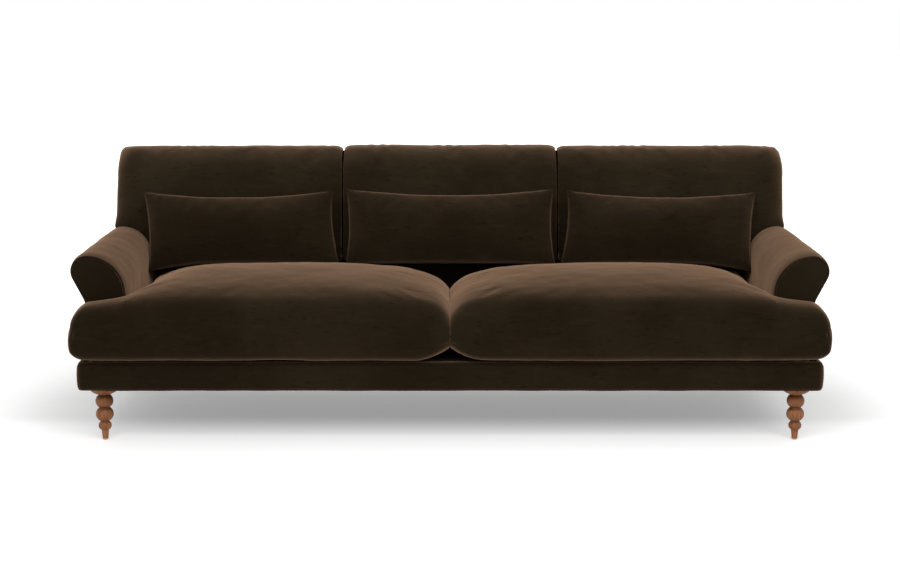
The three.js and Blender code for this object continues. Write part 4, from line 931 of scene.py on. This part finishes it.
class SOFA_OT_arms(Operator):
    """Makes the rolled arms with their front panels and welts"""
    bl_idname = "sofa.arms"
    bl_label = "Arms"

    def execute(self, context):
        s = context.scene.sofa_arm
        for side, sign in SIDES:
            self.cover(context, s, side, sign)
            self.panel(s, side, sign)
            self.welt(s, side, sign)
        return {"FINISHED"}

    def cover(self, context, s, side, sign):
        """The section carried back with a splay, to the leaning back.

        A station is the share t of the way back. The front lip draws in by its inset times
        (1 - d / lip)^2, the rear edge rolls in by a quarter circle, and both ends close in rings
        towards the section's middle.
        """
        rake = context.scene.sofa_back.rake
        front = PANEL_LOW.y + 0.0035
        lip = s.lip * (1 - np.cos(np.linspace(0, math.pi / 2, 9)))
        body = np.linspace(0, 1, 52)[1:-1]
        rear = 0.008 * (1 - np.cos(np.linspace(0, math.pi / 2, 5)))[::-1]
        reach = BACK_FOOT - front
        ahead = np.concatenate([lip, lip[-1] + body * (reach - lip[-1] - rear[0]), reach - rear])
        roll_in = (fall(ahead, s.edge_inset, s.lip) + 0.0015 * (1 - quarter_round(ahead, 0.0015))
                   + rear[0] * (1 - quarter_round(reach - ahead, rear[0])))
        inset = roll_in - s.fullness * np.sin(math.pi * ahead / reach)
        foot = ARM_LOW.z
        x, z = arm_section(inset, s.splay * ahead / reach, foot, s)
        for _ in range(2):
            lean = np.maximum(0, z - DECK_TOP) * math.tan(rake)
            y = front + ahead[None] * (1 + lean / reach)
            x, z = arm_section(inset, s.splay * (y.mean(axis=0) - front) / reach, foot, s)
        y = front + ahead[None] * (1 + np.maximum(0, z - DECK_TOP) * math.tan(rake) / reach)
        centre = (x.mean(), z[:, 0].mean())
        shares = (0.8, 0.5, 0.2, 0.02)
        ends = shrink_rings(x, y, z, centre, shares)
        starts = shrink_rings(x[:, ::-1], y[:, ::-1], z[:, ::-1], centre, (0.995, *shares))
        starts[1][:, 1:] += s.groove
        grid = np.stack([
            np.hstack([start[:, ::-1], middle, end])
            for start, middle, end in zip(starts, (x, y, z), ends)
        ], axis=-1)
        grid = np.swapaxes(grid, 0, 1)
        points = grid.reshape(-1, 3) * (sign, 1, 1)
        rings = np.arange(len(points)).reshape(grid.shape[:2])
        faces = facing_out(points, band_faces(rings))
        caps = [rings[0], rings[-1][::-1]] if sign > 0 else [rings[0][::-1], rings[-1]]
        piece = make_piece(f"arm_velvet_{side}", points, faces, caps)
        uneven(piece, 0.0016, 53 if sign < 0 else 59)
        subdivide(piece)
        self.dress(piece, f"arm_cover_{side}")

    def panel(self, s, side, sign):
        """The front panel: rings from the middle of the section out to its edge.

        At the share r out, the face stands forward by the puff times (1 - r^4).
        """
        share = np.concatenate([np.linspace(0.02, 0.9, 14), [0.94, 0.97, 0.99, 1.0]])
        edge_x, edge_z = arm_section(s.panel_inset, 0, PANEL_LOW.z, s)
        centre = np.array([edge_x.mean() + 0.004, edge_z.mean()])
        x = centre[0] + (edge_x - centre[0]) * share
        z = centre[1] + (edge_z - centre[1]) * share
        y = PANEL_LOW.y + 0.0035 - s.puff * (1 - share ** 4) + 0 * x
        back = np.full_like(x[:, -1:], PANEL_HIGH.y - 0.0005)
        grid = np.stack([
            np.hstack([x, x[:, -1:], x[:, :1]]),
            np.hstack([y, back, back]),
            np.hstack([z, z[:, -1:], z[:, :1]]),
        ], axis=-1)
        grid = np.swapaxes(grid, 0, 1)
        points = grid.reshape(-1, 3) * (sign, 1, 1)
        rings = np.arange(len(points)).reshape(grid.shape[:2])
        faces = facing_out(points, band_faces(rings))
        caps = [rings[0], rings[-1][::-1]] if sign > 0 else [rings[0][::-1], rings[-1]]
        piece = make_piece(f"arm_panel_velvet_{side}", points, faces, caps)
        self.dress(piece, f"arm_front_panel_{side}")

    def welt(self, s, side, sign):
        """A round cord carried along the panel's edge: its centre line plus a circle of its radius
        in the plane across the line."""
        edge_x, edge_z = arm_section(s.welt_inset, 0, PANEL_LOW.z, s)
        line = np.column_stack([edge_x[:, 0], edge_z[:, 0]])
        along = np.gradient(line, axis=0)
        along /= np.linalg.norm(along, axis=1, keepdims=True)
        t = np.linspace(0, 2 * math.pi, 12, endpoint=False)
        across = s.welt * np.cos(t)
        points = np.stack([
            line[:, :1] - along[:, 1:] * across,
            np.full((len(line), 1), PANEL_LOW.y + 0.0045) + s.welt * np.sin(t),
            line[:, 1:] + along[:, :1] * across,
        ], axis=-1).reshape(-1, 3) * (sign, 1, 1)
        rings = np.arange(len(points)).reshape(len(line), -1)
        faces = facing_out(points, band_faces(rings))
        caps = [rings[0], rings[-1][::-1]] if sign > 0 else [rings[0][::-1], rings[-1]]
        piece = make_piece(f"arm_welt_velvet_{side}", points, faces, caps)
        subdivide(piece)
        self.dress(piece, f"arm_front_welt_{side}")

    def dress(self, piece, node):
        piece.data.materials.append(velvet("arm"))
        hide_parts(node)
        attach(piece, "frame")


# Base and outside back

def base_section(s):
    """The base cover's section as distance in from its face and height, once round.

    Outside, a roll of one radius at the top and another below join a face that swells by the
    fullness times 1 - (2w - 1)^2.
    """
    tall = DECK_TOP - BASE_LOW.z
    under = np.radians(np.linspace(270, 180, 7))
    over = np.radians(np.linspace(180, 90, 9))
    face = np.linspace(s.bottom, tall - s.top, 14)[1:-1]
    inner_top = tall - s.edge_roll
    outline = np.vstack([
        [(s.turned_in, 0)],
        np.column_stack([s.bottom + s.bottom * np.cos(under), s.bottom + s.bottom * np.sin(under)]),
        np.column_stack([0 * face, face]),
        np.column_stack([s.top + s.top * np.cos(over), tall - s.top + s.top * np.sin(over)]),
        [(s.turned_in, tall), (s.turned_in, inner_top), (s.wall, inner_top)],
        [(s.wall, s.underlap), (s.turned_in, s.underlap)],
    ])
    share = np.clip(outline[:, 1] / tall, 0, 1)
    near_face = outline[:, 0] < s.wall - 0.0005
    outline[:, 0] += np.where(near_face, s.fullness * ((2 * share - 1) ** 2 - 0.25), 0)
    return outline


class SOFA_OT_base(Operator):
    """Makes the upholstered base cover"""
    bl_idname = "sofa.base"
    bl_label = "Base"

    def execute(self, context):
        s = context.scene.sofa_base
        x, front, rear = BASE_HIGH.x - s.corner, BASE_LOW.y - s.proud + s.corner, BASE_REAR - s.corner
        across = np.linspace(-x, x, round(2 * x / s.step) + 1)[1:-1]
        seams = np.array([SEAM_FRONT, SEAM_REAR])
        close = np.array([-0.006, -0.003, -0.0012, 0, 0.0012, 0.003, 0.006])
        deep = np.linspace(front, rear, round((rear - front) / s.step) + 1)[1:-1]
        deep = deep[np.abs(deep[:, None] - seams).min(axis=1) > 0.01]
        deep = np.sort(np.concatenate([deep, (seams[:, None] + close).ravel()]))
        corners = [(x, front, 270), (x, rear, 0), (-x, rear, 90), (-x, front, 180)]
        runs = [
            np.column_stack([across, np.full(len(across), front), 0 * across, 0 * across - 1]),
            np.column_stack([np.full(len(deep), x), deep, 0 * deep + 1, 0 * deep]),
            np.column_stack([across[::-1], np.full(len(across), rear), 0 * across, 0 * across + 1]),
            np.column_stack([np.full(len(deep), -x), deep[::-1], 0 * deep - 1, 0 * deep]),
        ]
        stations = []
        for run, (cx, cy, start) in zip(runs, corners):
            t = np.radians(np.linspace(start, start + 90, 13))
            bend = np.column_stack([np.full(13, cx), np.full(13, cy), np.cos(t), np.sin(t)])
            stations += [run, bend]
        stations = np.vstack(stations)
        section = base_section(s)
        depth = s.corner - section[:, 0]
        on_side = np.abs(stations[:, 2]) > 0.999
        from_seam = np.abs(stations[:, 1:2] - seams).min(axis=1)
        groove = np.where(on_side, 0.0016 * np.exp(-(from_seam / 0.0018) ** 2), 0)
        shown = section[:, 0] < s.top
        reach = depth[None] - groove[:, None] * shown
        grid = np.stack([
            stations[:, :1] + stations[:, 2:3] * reach,
            stations[:, 1:2] + stations[:, 3:4] * reach,
            BASE_LOW.z + section[:, 1] + 0 * reach,
        ], axis=-1)
        points = grid.reshape(-1, 3)
        lumps = 0.0009 * soft_noise(points, 0.16, 61) * np.tile(shown, len(grid))
        rings = np.arange(len(points)).reshape(grid.shape[:2])
        faces = band_faces(np.vstack([rings, rings[:1]]))
        piece = make_piece("base_velvet", points, facing_out(points, faces))
        set_points(piece, points_of(piece) + normals_of(piece) * lumps[:, None])
        piece.data.materials.append(velvet("seat"))
        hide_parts("base_cover_front", "base_cover_rear", "base_cover_left", "base_cover_right")
        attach(piece, "frame")
        return {"FINISHED"}


class SOFA_OT_outside_back(Operator):
    """Makes the outside cover of the back"""
    bl_idname = "sofa.outside_back"
    bl_label = "Outside Back"

    def execute(self, context):
        s = context.scene.sofa_back
        step = 2 * context.scene.sofa_padding.step
        half = BACK_HIGH.x
        xs = graded(-half, half, s.edge, s.edge, step)
        ups = graded(0, s.height, 0.0, s.edge, step)
        plan = np.stack(np.meshgrid(xs, ups, indexing="ij"), axis=-1)
        plan = round_corner(plan, (-half, s.height), (1, -1), s.edge)
        plan = round_corner(plan, (half, s.height), (-1, -1), s.edge)
        x, up = plan[..., 0], plan[..., 1]
        drops = (1 - quarter_round(half - np.abs(x), s.edge)) + (1 - quarter_round(s.height - up, s.edge))
        crown = (1 - (x / half) ** 6) * (1 - (2 * up / s.height - 1) ** 4)
        rear = s.depth - 0.003 + 0.003 * crown - s.edge * np.minimum(1, drops)
        last_x, last_up = len(xs) - 1, len(ups) - 1
        rim = walk([(0, 0), (last_x, 0), (last_x, last_up), (0, last_up)])
        local, faces = pad(plan, np.ones((last_x, last_up), bool), rim, rear, np.full_like(rear, 0.0062),
                           np.zeros(len(rim)), 8)
        level = local[:, 2] * math.tan(s.rake)
        lifted = local[:, 1] + level * (1 - local[:, 1] / s.height)
        points = back_point(local[:, 0], -local[:, 2], lifted)
        piece = make_piece("outside_back_velvet", points, facing_out(points, faces))
        uneven(piece, 0.0012, 71)
        piece.data.materials.append(velvet("back"))
        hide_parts("back_cover")
        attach(piece, "frame")
        return {"FINISHED"}


# Legs

def bead(bottom, height, radius, neck, count):
    """Half an ellipse between two equal necks, as radius and height."""
    z = np.linspace(-height / 2, height / 2, count)
    reach = height / 2 / math.sqrt(1 - (neck / radius) ** 2)
    return np.column_stack([radius * np.sqrt(1 - (z / reach) ** 2), bottom + height / 2 + z])


class SOFA_OT_legs(Operator):
    """Makes the four turned legs"""
    bl_idname = "sofa.legs"
    bl_label = "Legs"

    def profile(self, s, bottom, top, bolt_top):
        """The turning as radius and height: foot, beads, collar, bowl and cap, with the bolt above."""
        foot_top = bottom + s.foot
        middle = foot_top + s.small_bead + s.lower_neck
        upper = middle + s.bead + s.upper_neck
        cap = upper + s.bead + s.collar
        start = math.acos(s.collar_radius / s.cap_radius)
        t = np.linspace(start, 0, 16)
        bowl = np.column_stack([s.cap_radius * np.cos(t), cap + s.bowl * (1 - np.sin(t) / math.sin(start))])
        foot_z = np.linspace(bottom, foot_top - 0.001, 8)
        foot_r = s.foot_bottom + (s.foot_top - s.foot_bottom) * ((foot_z - bottom) / s.foot) ** 1.4
        return np.vstack([
            [(0.0006, bottom), (s.foot_bottom - 0.001, bottom)],
            np.column_stack([foot_r, foot_z + 0.0006]),
            bead(foot_top, s.small_bead, s.small_radius, s.lower_neck_radius, 20),
            bead(middle, s.bead, s.bead_radius, s.upper_neck_radius, 26),
            bead(upper, s.bead, s.bead_radius, s.upper_neck_radius, 26),
            bowl,
            [(s.cap_radius, top - 0.0012), (s.cap_radius - 0.0008, top), (s.bolt_radius, top)],
            [(s.bolt_radius, bolt_top - 0.001), (s.bolt_radius - 0.001, bolt_top), (0.0006, bolt_top)],
        ])

    def groove(self, s, profile):
        """0 on the beads to 1 in the grooves: how far the widest turning just above a point, and the
        widest just below it, both stand out past the point."""
        radius, height = profile.T
        apart = height[None] - height[:, None]
        over = np.where((apart >= 0) & (apart < s.bead / 2), radius[None], 0).max(axis=1)
        under = np.where((apart <= 0) & (apart > -s.bead / 2), radius[None], 0).max(axis=1)
        return np.clip((np.minimum(over, under) - radius) / s.groove, 0, 1)

    def execute(self, context):
        s = context.scene.sofa_leg
        wood = turned_wood(s)
        for corner in CORNERS:
            low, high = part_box(f"leg_{corner}")
            profile = self.profile(s, low.z, BASE_LOW.z - 0.0003, high.z)
            t = np.linspace(0, 2 * math.pi, s.sides, endpoint=False)
            grid = np.stack([
                (low.x + high.x) / 2 + profile[:, :1] * np.cos(t),
                (low.y + high.y) / 2 + profile[:, :1] * np.sin(t),
                profile[:, 1:] + 0 * t,
            ], axis=-1)
            points = grid.reshape(-1, 3)
            rings = np.arange(len(points)).reshape(grid.shape[:2])
            faces = facing_out(points, band_faces(rings))
            piece = make_piece(f"turned_leg_{corner}", points, faces, [rings[0][::-1], rings[-1]])
            # painted shade: this share darkens the wood in the grooves between the beads, where shade falls
            groove = piece.data.attributes.new("groove", "FLOAT", "POINT")
            groove.data.foreach_set("value", np.repeat(self.groove(s, profile), s.sides).astype(np.float32))
            piece.data.materials.append(wood)
            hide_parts(f"leg_{corner}")
            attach(piece, "frame")
        return {"FINISHED"}


class SOFA_OT_inner_parts(Operator):
    """Gives the frame, springs, deck, linings and glides their finishes"""
    bl_idname = "sofa.inner_parts"
    bl_label = "Inner Parts"

    def execute(self, context):
        record = frame["record"]
        finishes = {
            "frame_timber": sawn_timber(),
            "spring_steel": drawn_steel(),
            "deck_cloth": woven("deck cloth", (0.055, 0.04, 0.028), (0.03, 0.021, 0.014), 900.0),
            "dust_cloth": woven("dust cloth", (0.012, 0.012, 0.013), (0.006, 0.006, 0.007), 500.0),
            "glide_nylon": moulded_nylon(),
        }
        for part in record["subparts"]:
            if part["material_slot"] in finishes:
                node = frame["nodes"][part["node"]]
                node.data.materials.clear()
                node.data.materials.append(finishes[part["material_slot"]])
        return {"FINISHED"}


# Shaders

class Value:
    """A shader socket whose arithmetic adds Math nodes."""

    def __init__(self, shader, socket):
        self.shader = shader
        self.socket = socket

    def math(self, operation, first, second):
        return self.shader.add("ShaderNodeMath", {"operation": operation}, {0: first, 1: second})

    def __add__(self, other):
        return self.math("ADD", self, other)

    def __mul__(self, other):
        return self.math("MULTIPLY", self, other)

    def __sub__(self, other):
        return self.math("SUBTRACT", self, other)

    def __rsub__(self, other):
        return self.math("SUBTRACT", other, self)

    def __pow__(self, other):
        return self.math("POWER", self, other)

    __radd__ = __add__
    __rmul__ = __mul__


class Shader:
    """A material whose nodes are added by one method."""

    def __init__(self, name):
        self.material = bpy.data.materials.new(name)
        self.material.use_nodes = True
        self.tree = self.material.node_tree
        self.tree.nodes.clear()

    def add(self, kind, settings=None, inputs=None, output=0):
        """Adds a node, sets it up, fills its sockets and gives one output as a Value."""
        node = self.tree.nodes.new(kind)
        for name, value in (settings or {}).items():
            if name == "stops":
                for element, (place, shade) in zip(node.color_ramp.elements, value):
                    element.position = place
                    element.color = (*shade, 1)
            else:
                setattr(node, name, value)
        for name, value in (inputs or {}).items():
            if isinstance(value, Value):
                self.tree.links.new(value.socket, node.inputs[name])
            elif isinstance(value, tuple) and node.inputs[name].type == "RGBA":
                node.inputs[name].default_value = (*value, 1)
            else:
                node.inputs[name].default_value = value
        return Value(self, node.outputs[output])

    def place(self, scale=(1, 1, 1), turned=(0, 0, 0)):
        """Object coordinates, scaled and turned."""
        where = self.add("ShaderNodeTexCoord", output="Object")
        return self.add("ShaderNodeMapping", {}, {"Vector": where, "Scale": scale, "Rotation": turned})

    def noise(self, where, scale, detail=2.0, roughness=0.5):
        """A noise from 0 to 1."""
        return self.add("ShaderNodeTexNoise", {},
                        {"Vector": where, "Scale": scale, "Detail": detail, "Roughness": roughness})

    def between(self, value, low, high):
        """Rises smoothly from 0 at low to 1 at high."""
        return self.add("ShaderNodeMapRange", {"interpolation_type": "SMOOTHSTEP"},
                        {"Value": value, "From Min": low, "From Max": high})

    def mix(self, factor, first, second):
        """A colour between two."""
        return self.add("ShaderNodeMix", {"data_type": "RGBA"}, {0: factor, 6: first, 7: second}, output=2)

    def bump(self, height, distance, strength, under=None):
        """A normal from a height."""
        inputs = {"Height": height, "Distance": distance, "Strength": strength}
        if under is not None:
            inputs["Normal"] = under
        return self.add("ShaderNodeBump", {}, inputs)

    def finish(self, **inputs):
        """The Principled shader with its sockets named with underscores."""
        named = {name.replace("_", " "): value for name, value in inputs.items()}
        surface = self.add("ShaderNodeBsdfPrincipled", {}, named)
        self.add_output(surface)
        return self.material

    def add_output(self, surface):
        """Joins a surface to the material's output."""
        node = self.tree.nodes.new("ShaderNodeOutputMaterial")
        self.tree.links.new(surface.socket, node.inputs["Surface"])


def velvet(nap):
    """Short-pile velvet: dark into the pile, with tips that catch the light at the edges.

    Broad patches of brushed nap and short level crush marks shift its colour, and a fine grain
    makes its pile. The back and the pillows get a lighter copy of the colour, as painted light
    for the light that falls more on them, and the nap lies smoother on the arms.
    """
    name = f"short pile velvet {nap}"
    if name in bpy.data.materials:
        return bpy.data.materials[name]
    s = bpy.context.scene.sofa_velvet
    # painted light: the back and the pillows get a lighter copy of the velvet's colour, for the light that falls
    # more on them
    lift = {"back": s.back_painted_light, "pillow": s.pillow_painted_light}.get(nap, 1.0)
    crush = 0.25 if nap == "arm" else 1.0
    shader = Shader(name)
    where = shader.place()
    patches = shader.between(shader.noise(where, s.nap_size, 3.0, 0.55), 0.32, 0.72)
    level = shader.place(scale=(0.25, 0.25, 1.0))
    streaks = shader.between(shader.noise(level, s.streak_size, 3.0, 0.6), 0.5, 0.75)
    dashes = shader.between(shader.noise(level, s.dash_size, 2.0, 0.5), 0.58, 0.7)
    brushed = 0.12 + patches * 0.6 + streaks * (0.3 * crush) - dashes * (0.4 * crush)
    grain = shader.noise(where, s.pile_size, 2.0, 0.7)
    tone = shader.mix(brushed, tuple(lift * c for c in s.pile), tuple(lift * c for c in s.pile_shift))
    tufts = shader.bump(grain, 0.0004, 0.35)
    crushed = shader.bump(streaks * crush - dashes * (0.4 * crush) + patches * 0.6, 0.001, 0.5, tufts)
    return shader.finish(
        Base_Color=tone,
        Roughness=0.82 + 0.1 * grain,
        Normal=crushed,
        Specular_IOR_Level=0.0,
        Sheen_Weight=s.arm_sheen if nap == "arm" else s.sheen,
        Sheen_Roughness=s.sheen_roughness,
        Sheen_Tint=tuple(s.sheen_tint),
    )


def turned_wood(s):
    """Lacquered wood with its grain up the leg: early and late wood, pores, painted shade in the grooves and a
    satin coat.
    """
    shader = Shader("turned wood")
    rings = shader.noise(shader.place(scale=(1, 1, 0.08)), 90.0, 4.0, 0.6)
    pores = shader.between(shader.noise(shader.place(scale=(1, 1, 0.05)), 700.0, 2.0, 0.6), 0.58, 0.7)
    figure = shader.noise(shader.place(), 14.0, 2.0)
    grain = shader.between(rings + 0.35 * figure, 0.45, 0.85)
    tone = shader.mix(grain, tuple(s.wood), tuple(s.wood_dark))
    tone = shader.mix(pores * 0.45, tone, tuple(0.5 * c for c in s.wood_dark))
    # painted shade: the wood is darkened in the grooves between the beads
    groove = shader.add("ShaderNodeAttribute", {"attribute_name": "groove"}, output="Fac")
    tone = shader.mix(groove * 0.65, tone, tuple(0.3 * c for c in s.wood_dark))
    return shader.finish(
        Base_Color=tone,
        Roughness=0.45 + 0.12 * grain,
        Specular_IOR_Level=0.3,
        Coat_Weight=0.12,
        Coat_Roughness=0.35,
        Normal=shader.bump(pores * -1.0 + 0.2 * rings, 0.0002, 0.4),
    )


def sawn_timber():
    """Pale sawn timber with a long grain."""
    shader = Shader("sawn timber")
    grain = shader.noise(shader.place(scale=(0.12, 1, 1)), 60.0, 5.0, 0.6)
    saw = shader.noise(shader.place(scale=(1, 0.05, 0.05)), 500.0, 1.0)
    tone = shader.mix(shader.between(grain, 0.35, 0.7), (0.56, 0.38, 0.2), (0.34, 0.2, 0.09))
    return shader.finish(Base_Color=tone, Roughness=0.7 + 0.15 * grain,
                         Normal=shader.bump(saw + grain, 0.0005, 0.4))


def drawn_steel():
    """Oiled spring wire with fine drawing lines."""
    shader = Shader("spring steel")
    lines = shader.noise(shader.place(), 800.0, 2.0)
    tone = shader.mix(lines, (0.2, 0.2, 0.21), (0.12, 0.12, 0.13))
    return shader.finish(Base_Color=tone, Metallic=1.0, Roughness=0.32 + 0.15 * lines)


def woven(name, light, dark, threads, specular=0.2):
    """A plain weave: the product of two waves, one across the other, lifts the threads."""
    shader = Shader(name)
    where = shader.place()
    across = shader.add("ShaderNodeTexWave", {"bands_direction": "X"}, {"Vector": where, "Scale": threads / 6.3})
    along = shader.add("ShaderNodeTexWave", {"bands_direction": "Y"}, {"Vector": where, "Scale": threads / 6.3})
    weave = across * along
    worn = shader.noise(where, 7.0, 3.0)
    tone = shader.mix(weave * 0.6 + worn * 0.4, dark, light)
    return shader.finish(Base_Color=tone, Roughness=0.9 + 0.05 * worn, Specular_IOR_Level=specular,
                         Normal=shader.bump(weave + 0.4 * worn, 0.0004, 0.5))


def moulded_nylon():
    """Pale moulded nylon, scuffed under the foot."""
    shader = Shader("glide nylon")
    scuffs = shader.between(shader.noise(shader.place(scale=(1, 0.2, 1)), 500.0, 3.0), 0.5, 0.7)
    tone = shader.mix(scuffs, (0.5, 0.37, 0.24), (0.36, 0.26, 0.17))
    return shader.finish(Base_Color=tone, Roughness=0.4 + 0.3 * scuffs,
                         Normal=shader.bump(scuffs, 0.0002, 0.3))


# Stage

class SOFA_OT_stage(Operator):
    """Makes the floor, the even light, the soft lamp overhead and the camera"""
    bl_idname = "sofa.stage"
    bl_label = "Stage"

    def execute(self, context):
        s = context.scene.sofa_stage
        self.camera(context, s)
        self.floor(context, s)
        self.sky(context, s)
        self.lamp(context, s)
        context.scene.view_settings.view_transform = "Standard"
        return {"FINISHED"}

    def camera(self, context, s):
        camera = bpy.data.objects.new("camera", bpy.data.cameras.new("camera"))
        camera.data.lens = s.lens
        camera.data.sensor_width = 36.0
        camera.data.clip_end = 200.0
        camera.location = (0, -s.camera_distance, s.camera_height)
        camera.rotation_euler = (math.pi / 2 - s.camera_tilt, 0, 0)
        context.scene.collection.objects.link(camera)
        context.scene.camera = camera

    def floor(self, context, s):
        """A pale floor that keeps the shadow and is white to the camera away from it. Painted light for the camera
        also lifts it before the sofa and past its ends, which thins the shadow there.
        """
        reach = 30.0
        corners = np.array([(-reach, -reach, 0), (reach, -reach, 0), (reach, reach, 0), (-reach, reach, 0)])
        piece = make_piece("floor", corners - (0, 0, 0.0004), np.array([[0, 1, 2, 3]]))
        shader = Shader("floor")
        diffuse = shader.add("ShaderNodeBsdfDiffuse", {}, {"Color": tuple(s.floor)})
        away = shader.add("ShaderNodeVectorMath", {"operation": "LENGTH"}, {0: shader.place()}, "Value")
        depth = shader.add("ShaderNodeSeparateXYZ", {}, {0: shader.place()}, "Y")
        # painted light: the glow grows away from the sofa, and painted light beside its ends and before its front
        # thins the shadow there
        lift = s.floor_glow + 0.6 * shader.between(away, 1.2, 3.2) + 0.12 * shader.between(away, 1.3, 1.6)
        lift = lift + 0.13 * shader.between(depth * -1.0, 0.09, 0.26)
        strength = self.seen(shader) * lift
        glow = shader.add("ShaderNodeEmission", {}, {"Color": (1.0, 1.0, 1.0), "Strength": strength})
        shader.add_output(shader.add("ShaderNodeAddShader", {}, {0: diffuse, 1: glow}))
        piece.data.materials.append(shader.material)

    def seen(self, shader):
        """1 for what the camera sees directly, in a gloss or through glass."""
        rays = [shader.add("ShaderNodeLightPath", output=name)
                for name in ("Is Camera Ray", "Is Glossy Ray", "Is Transmission Ray")]
        return rays[0] + rays[1] + rays[2]

    def sky(self, context, s):
        world = bpy.data.worlds.new("studio")
        world.use_nodes = True
        tree = world.node_tree
        tree.nodes.clear()
        shader = Shader.__new__(Shader)
        shader.tree = tree
        seen = self.seen(shader)
        strength = s.sky + (1 - s.sky) * seen
        light = shader.add("ShaderNodeBackground", {}, {"Color": (1.0, 1.0, 1.0), "Strength": strength})
        output = tree.nodes.new("ShaderNodeOutputWorld")
        tree.links.new(light.socket, output.inputs["Surface"])
        context.scene.world = world

    def lamp(self, context, s):
        lamp = bpy.data.lights.new("key", "AREA")
        lamp.shape = "RECTANGLE"
        lamp.size = s.key_size
        lamp.size_y = s.key_size * 0.3
        lamp.energy = s.key
        key = bpy.data.objects.new("key", lamp)
        key.location = (s.key_aside, -s.key_ahead, s.key_height)
        key.rotation_euler = (math.atan2(s.key_ahead, s.key_height - 0.4), 0, 0)
        context.scene.collection.objects.link(key)


PROPERTY_GROUPS = {
    "sofa_velvet": VelvetSettings,
    "sofa_padding": PaddingSettings,
    "sofa_seat": SeatSettings,
    "sofa_back": BackSettings,
    "sofa_pillow": PillowSettings,
    "sofa_arm": ArmSettings,
    "sofa_base": BaseSettings,
    "sofa_leg": LegSettings,
    "sofa_stage": StageSettings,
}

OPERATORS = (
    SOFA_OT_stage,
    SOFA_OT_seat_cushions,
    SOFA_OT_back_cushions,
    SOFA_OT_lumbar_pillows,
    SOFA_OT_arms,
    SOFA_OT_base,
    SOFA_OT_outside_back,
    SOFA_OT_legs,
    SOFA_OT_inner_parts,
)


class SOFA_PT_sofa(Panel):
    """The sofa's operators, in the order in which it is made"""
    bl_idname = "SOFA_PT_sofa"
    bl_label = "Roll Arm Sofa"
    bl_space_type = "VIEW_3D"
    bl_region_type = "UI"
    bl_category = "Sofa"

    def draw(self, context):
        for operator in OPERATORS:
            self.layout.operator(operator.bl_idname)


def register():
    """Registers the classes and the settings on the scene."""
    for name, group in PROPERTY_GROUPS.items():
        bpy.utils.register_class(group)
        setattr(bpy.types.Scene, name, PointerProperty(type=group))
    for operator in OPERATORS:
        bpy.utils.register_class(operator)
    bpy.utils.register_class(SOFA_PT_sofa)


def unregister():
    """Removes what register added."""
    bpy.utils.unregister_class(SOFA_PT_sofa)
    for operator in reversed(OPERATORS):
        bpy.utils.unregister_class(operator)
    for name, group in reversed(PROPERTY_GROUPS.items()):
        delattr(bpy.types.Scene, name)
        bpy.utils.unregister_class(group)


def main():
    """Makes the sofa."""
    register()
    for operator in OPERATORS:
        family, action = operator.bl_idname.split(".")
        getattr(getattr(bpy.ops, family), action)()


if __name__ == "__main__":
    main()
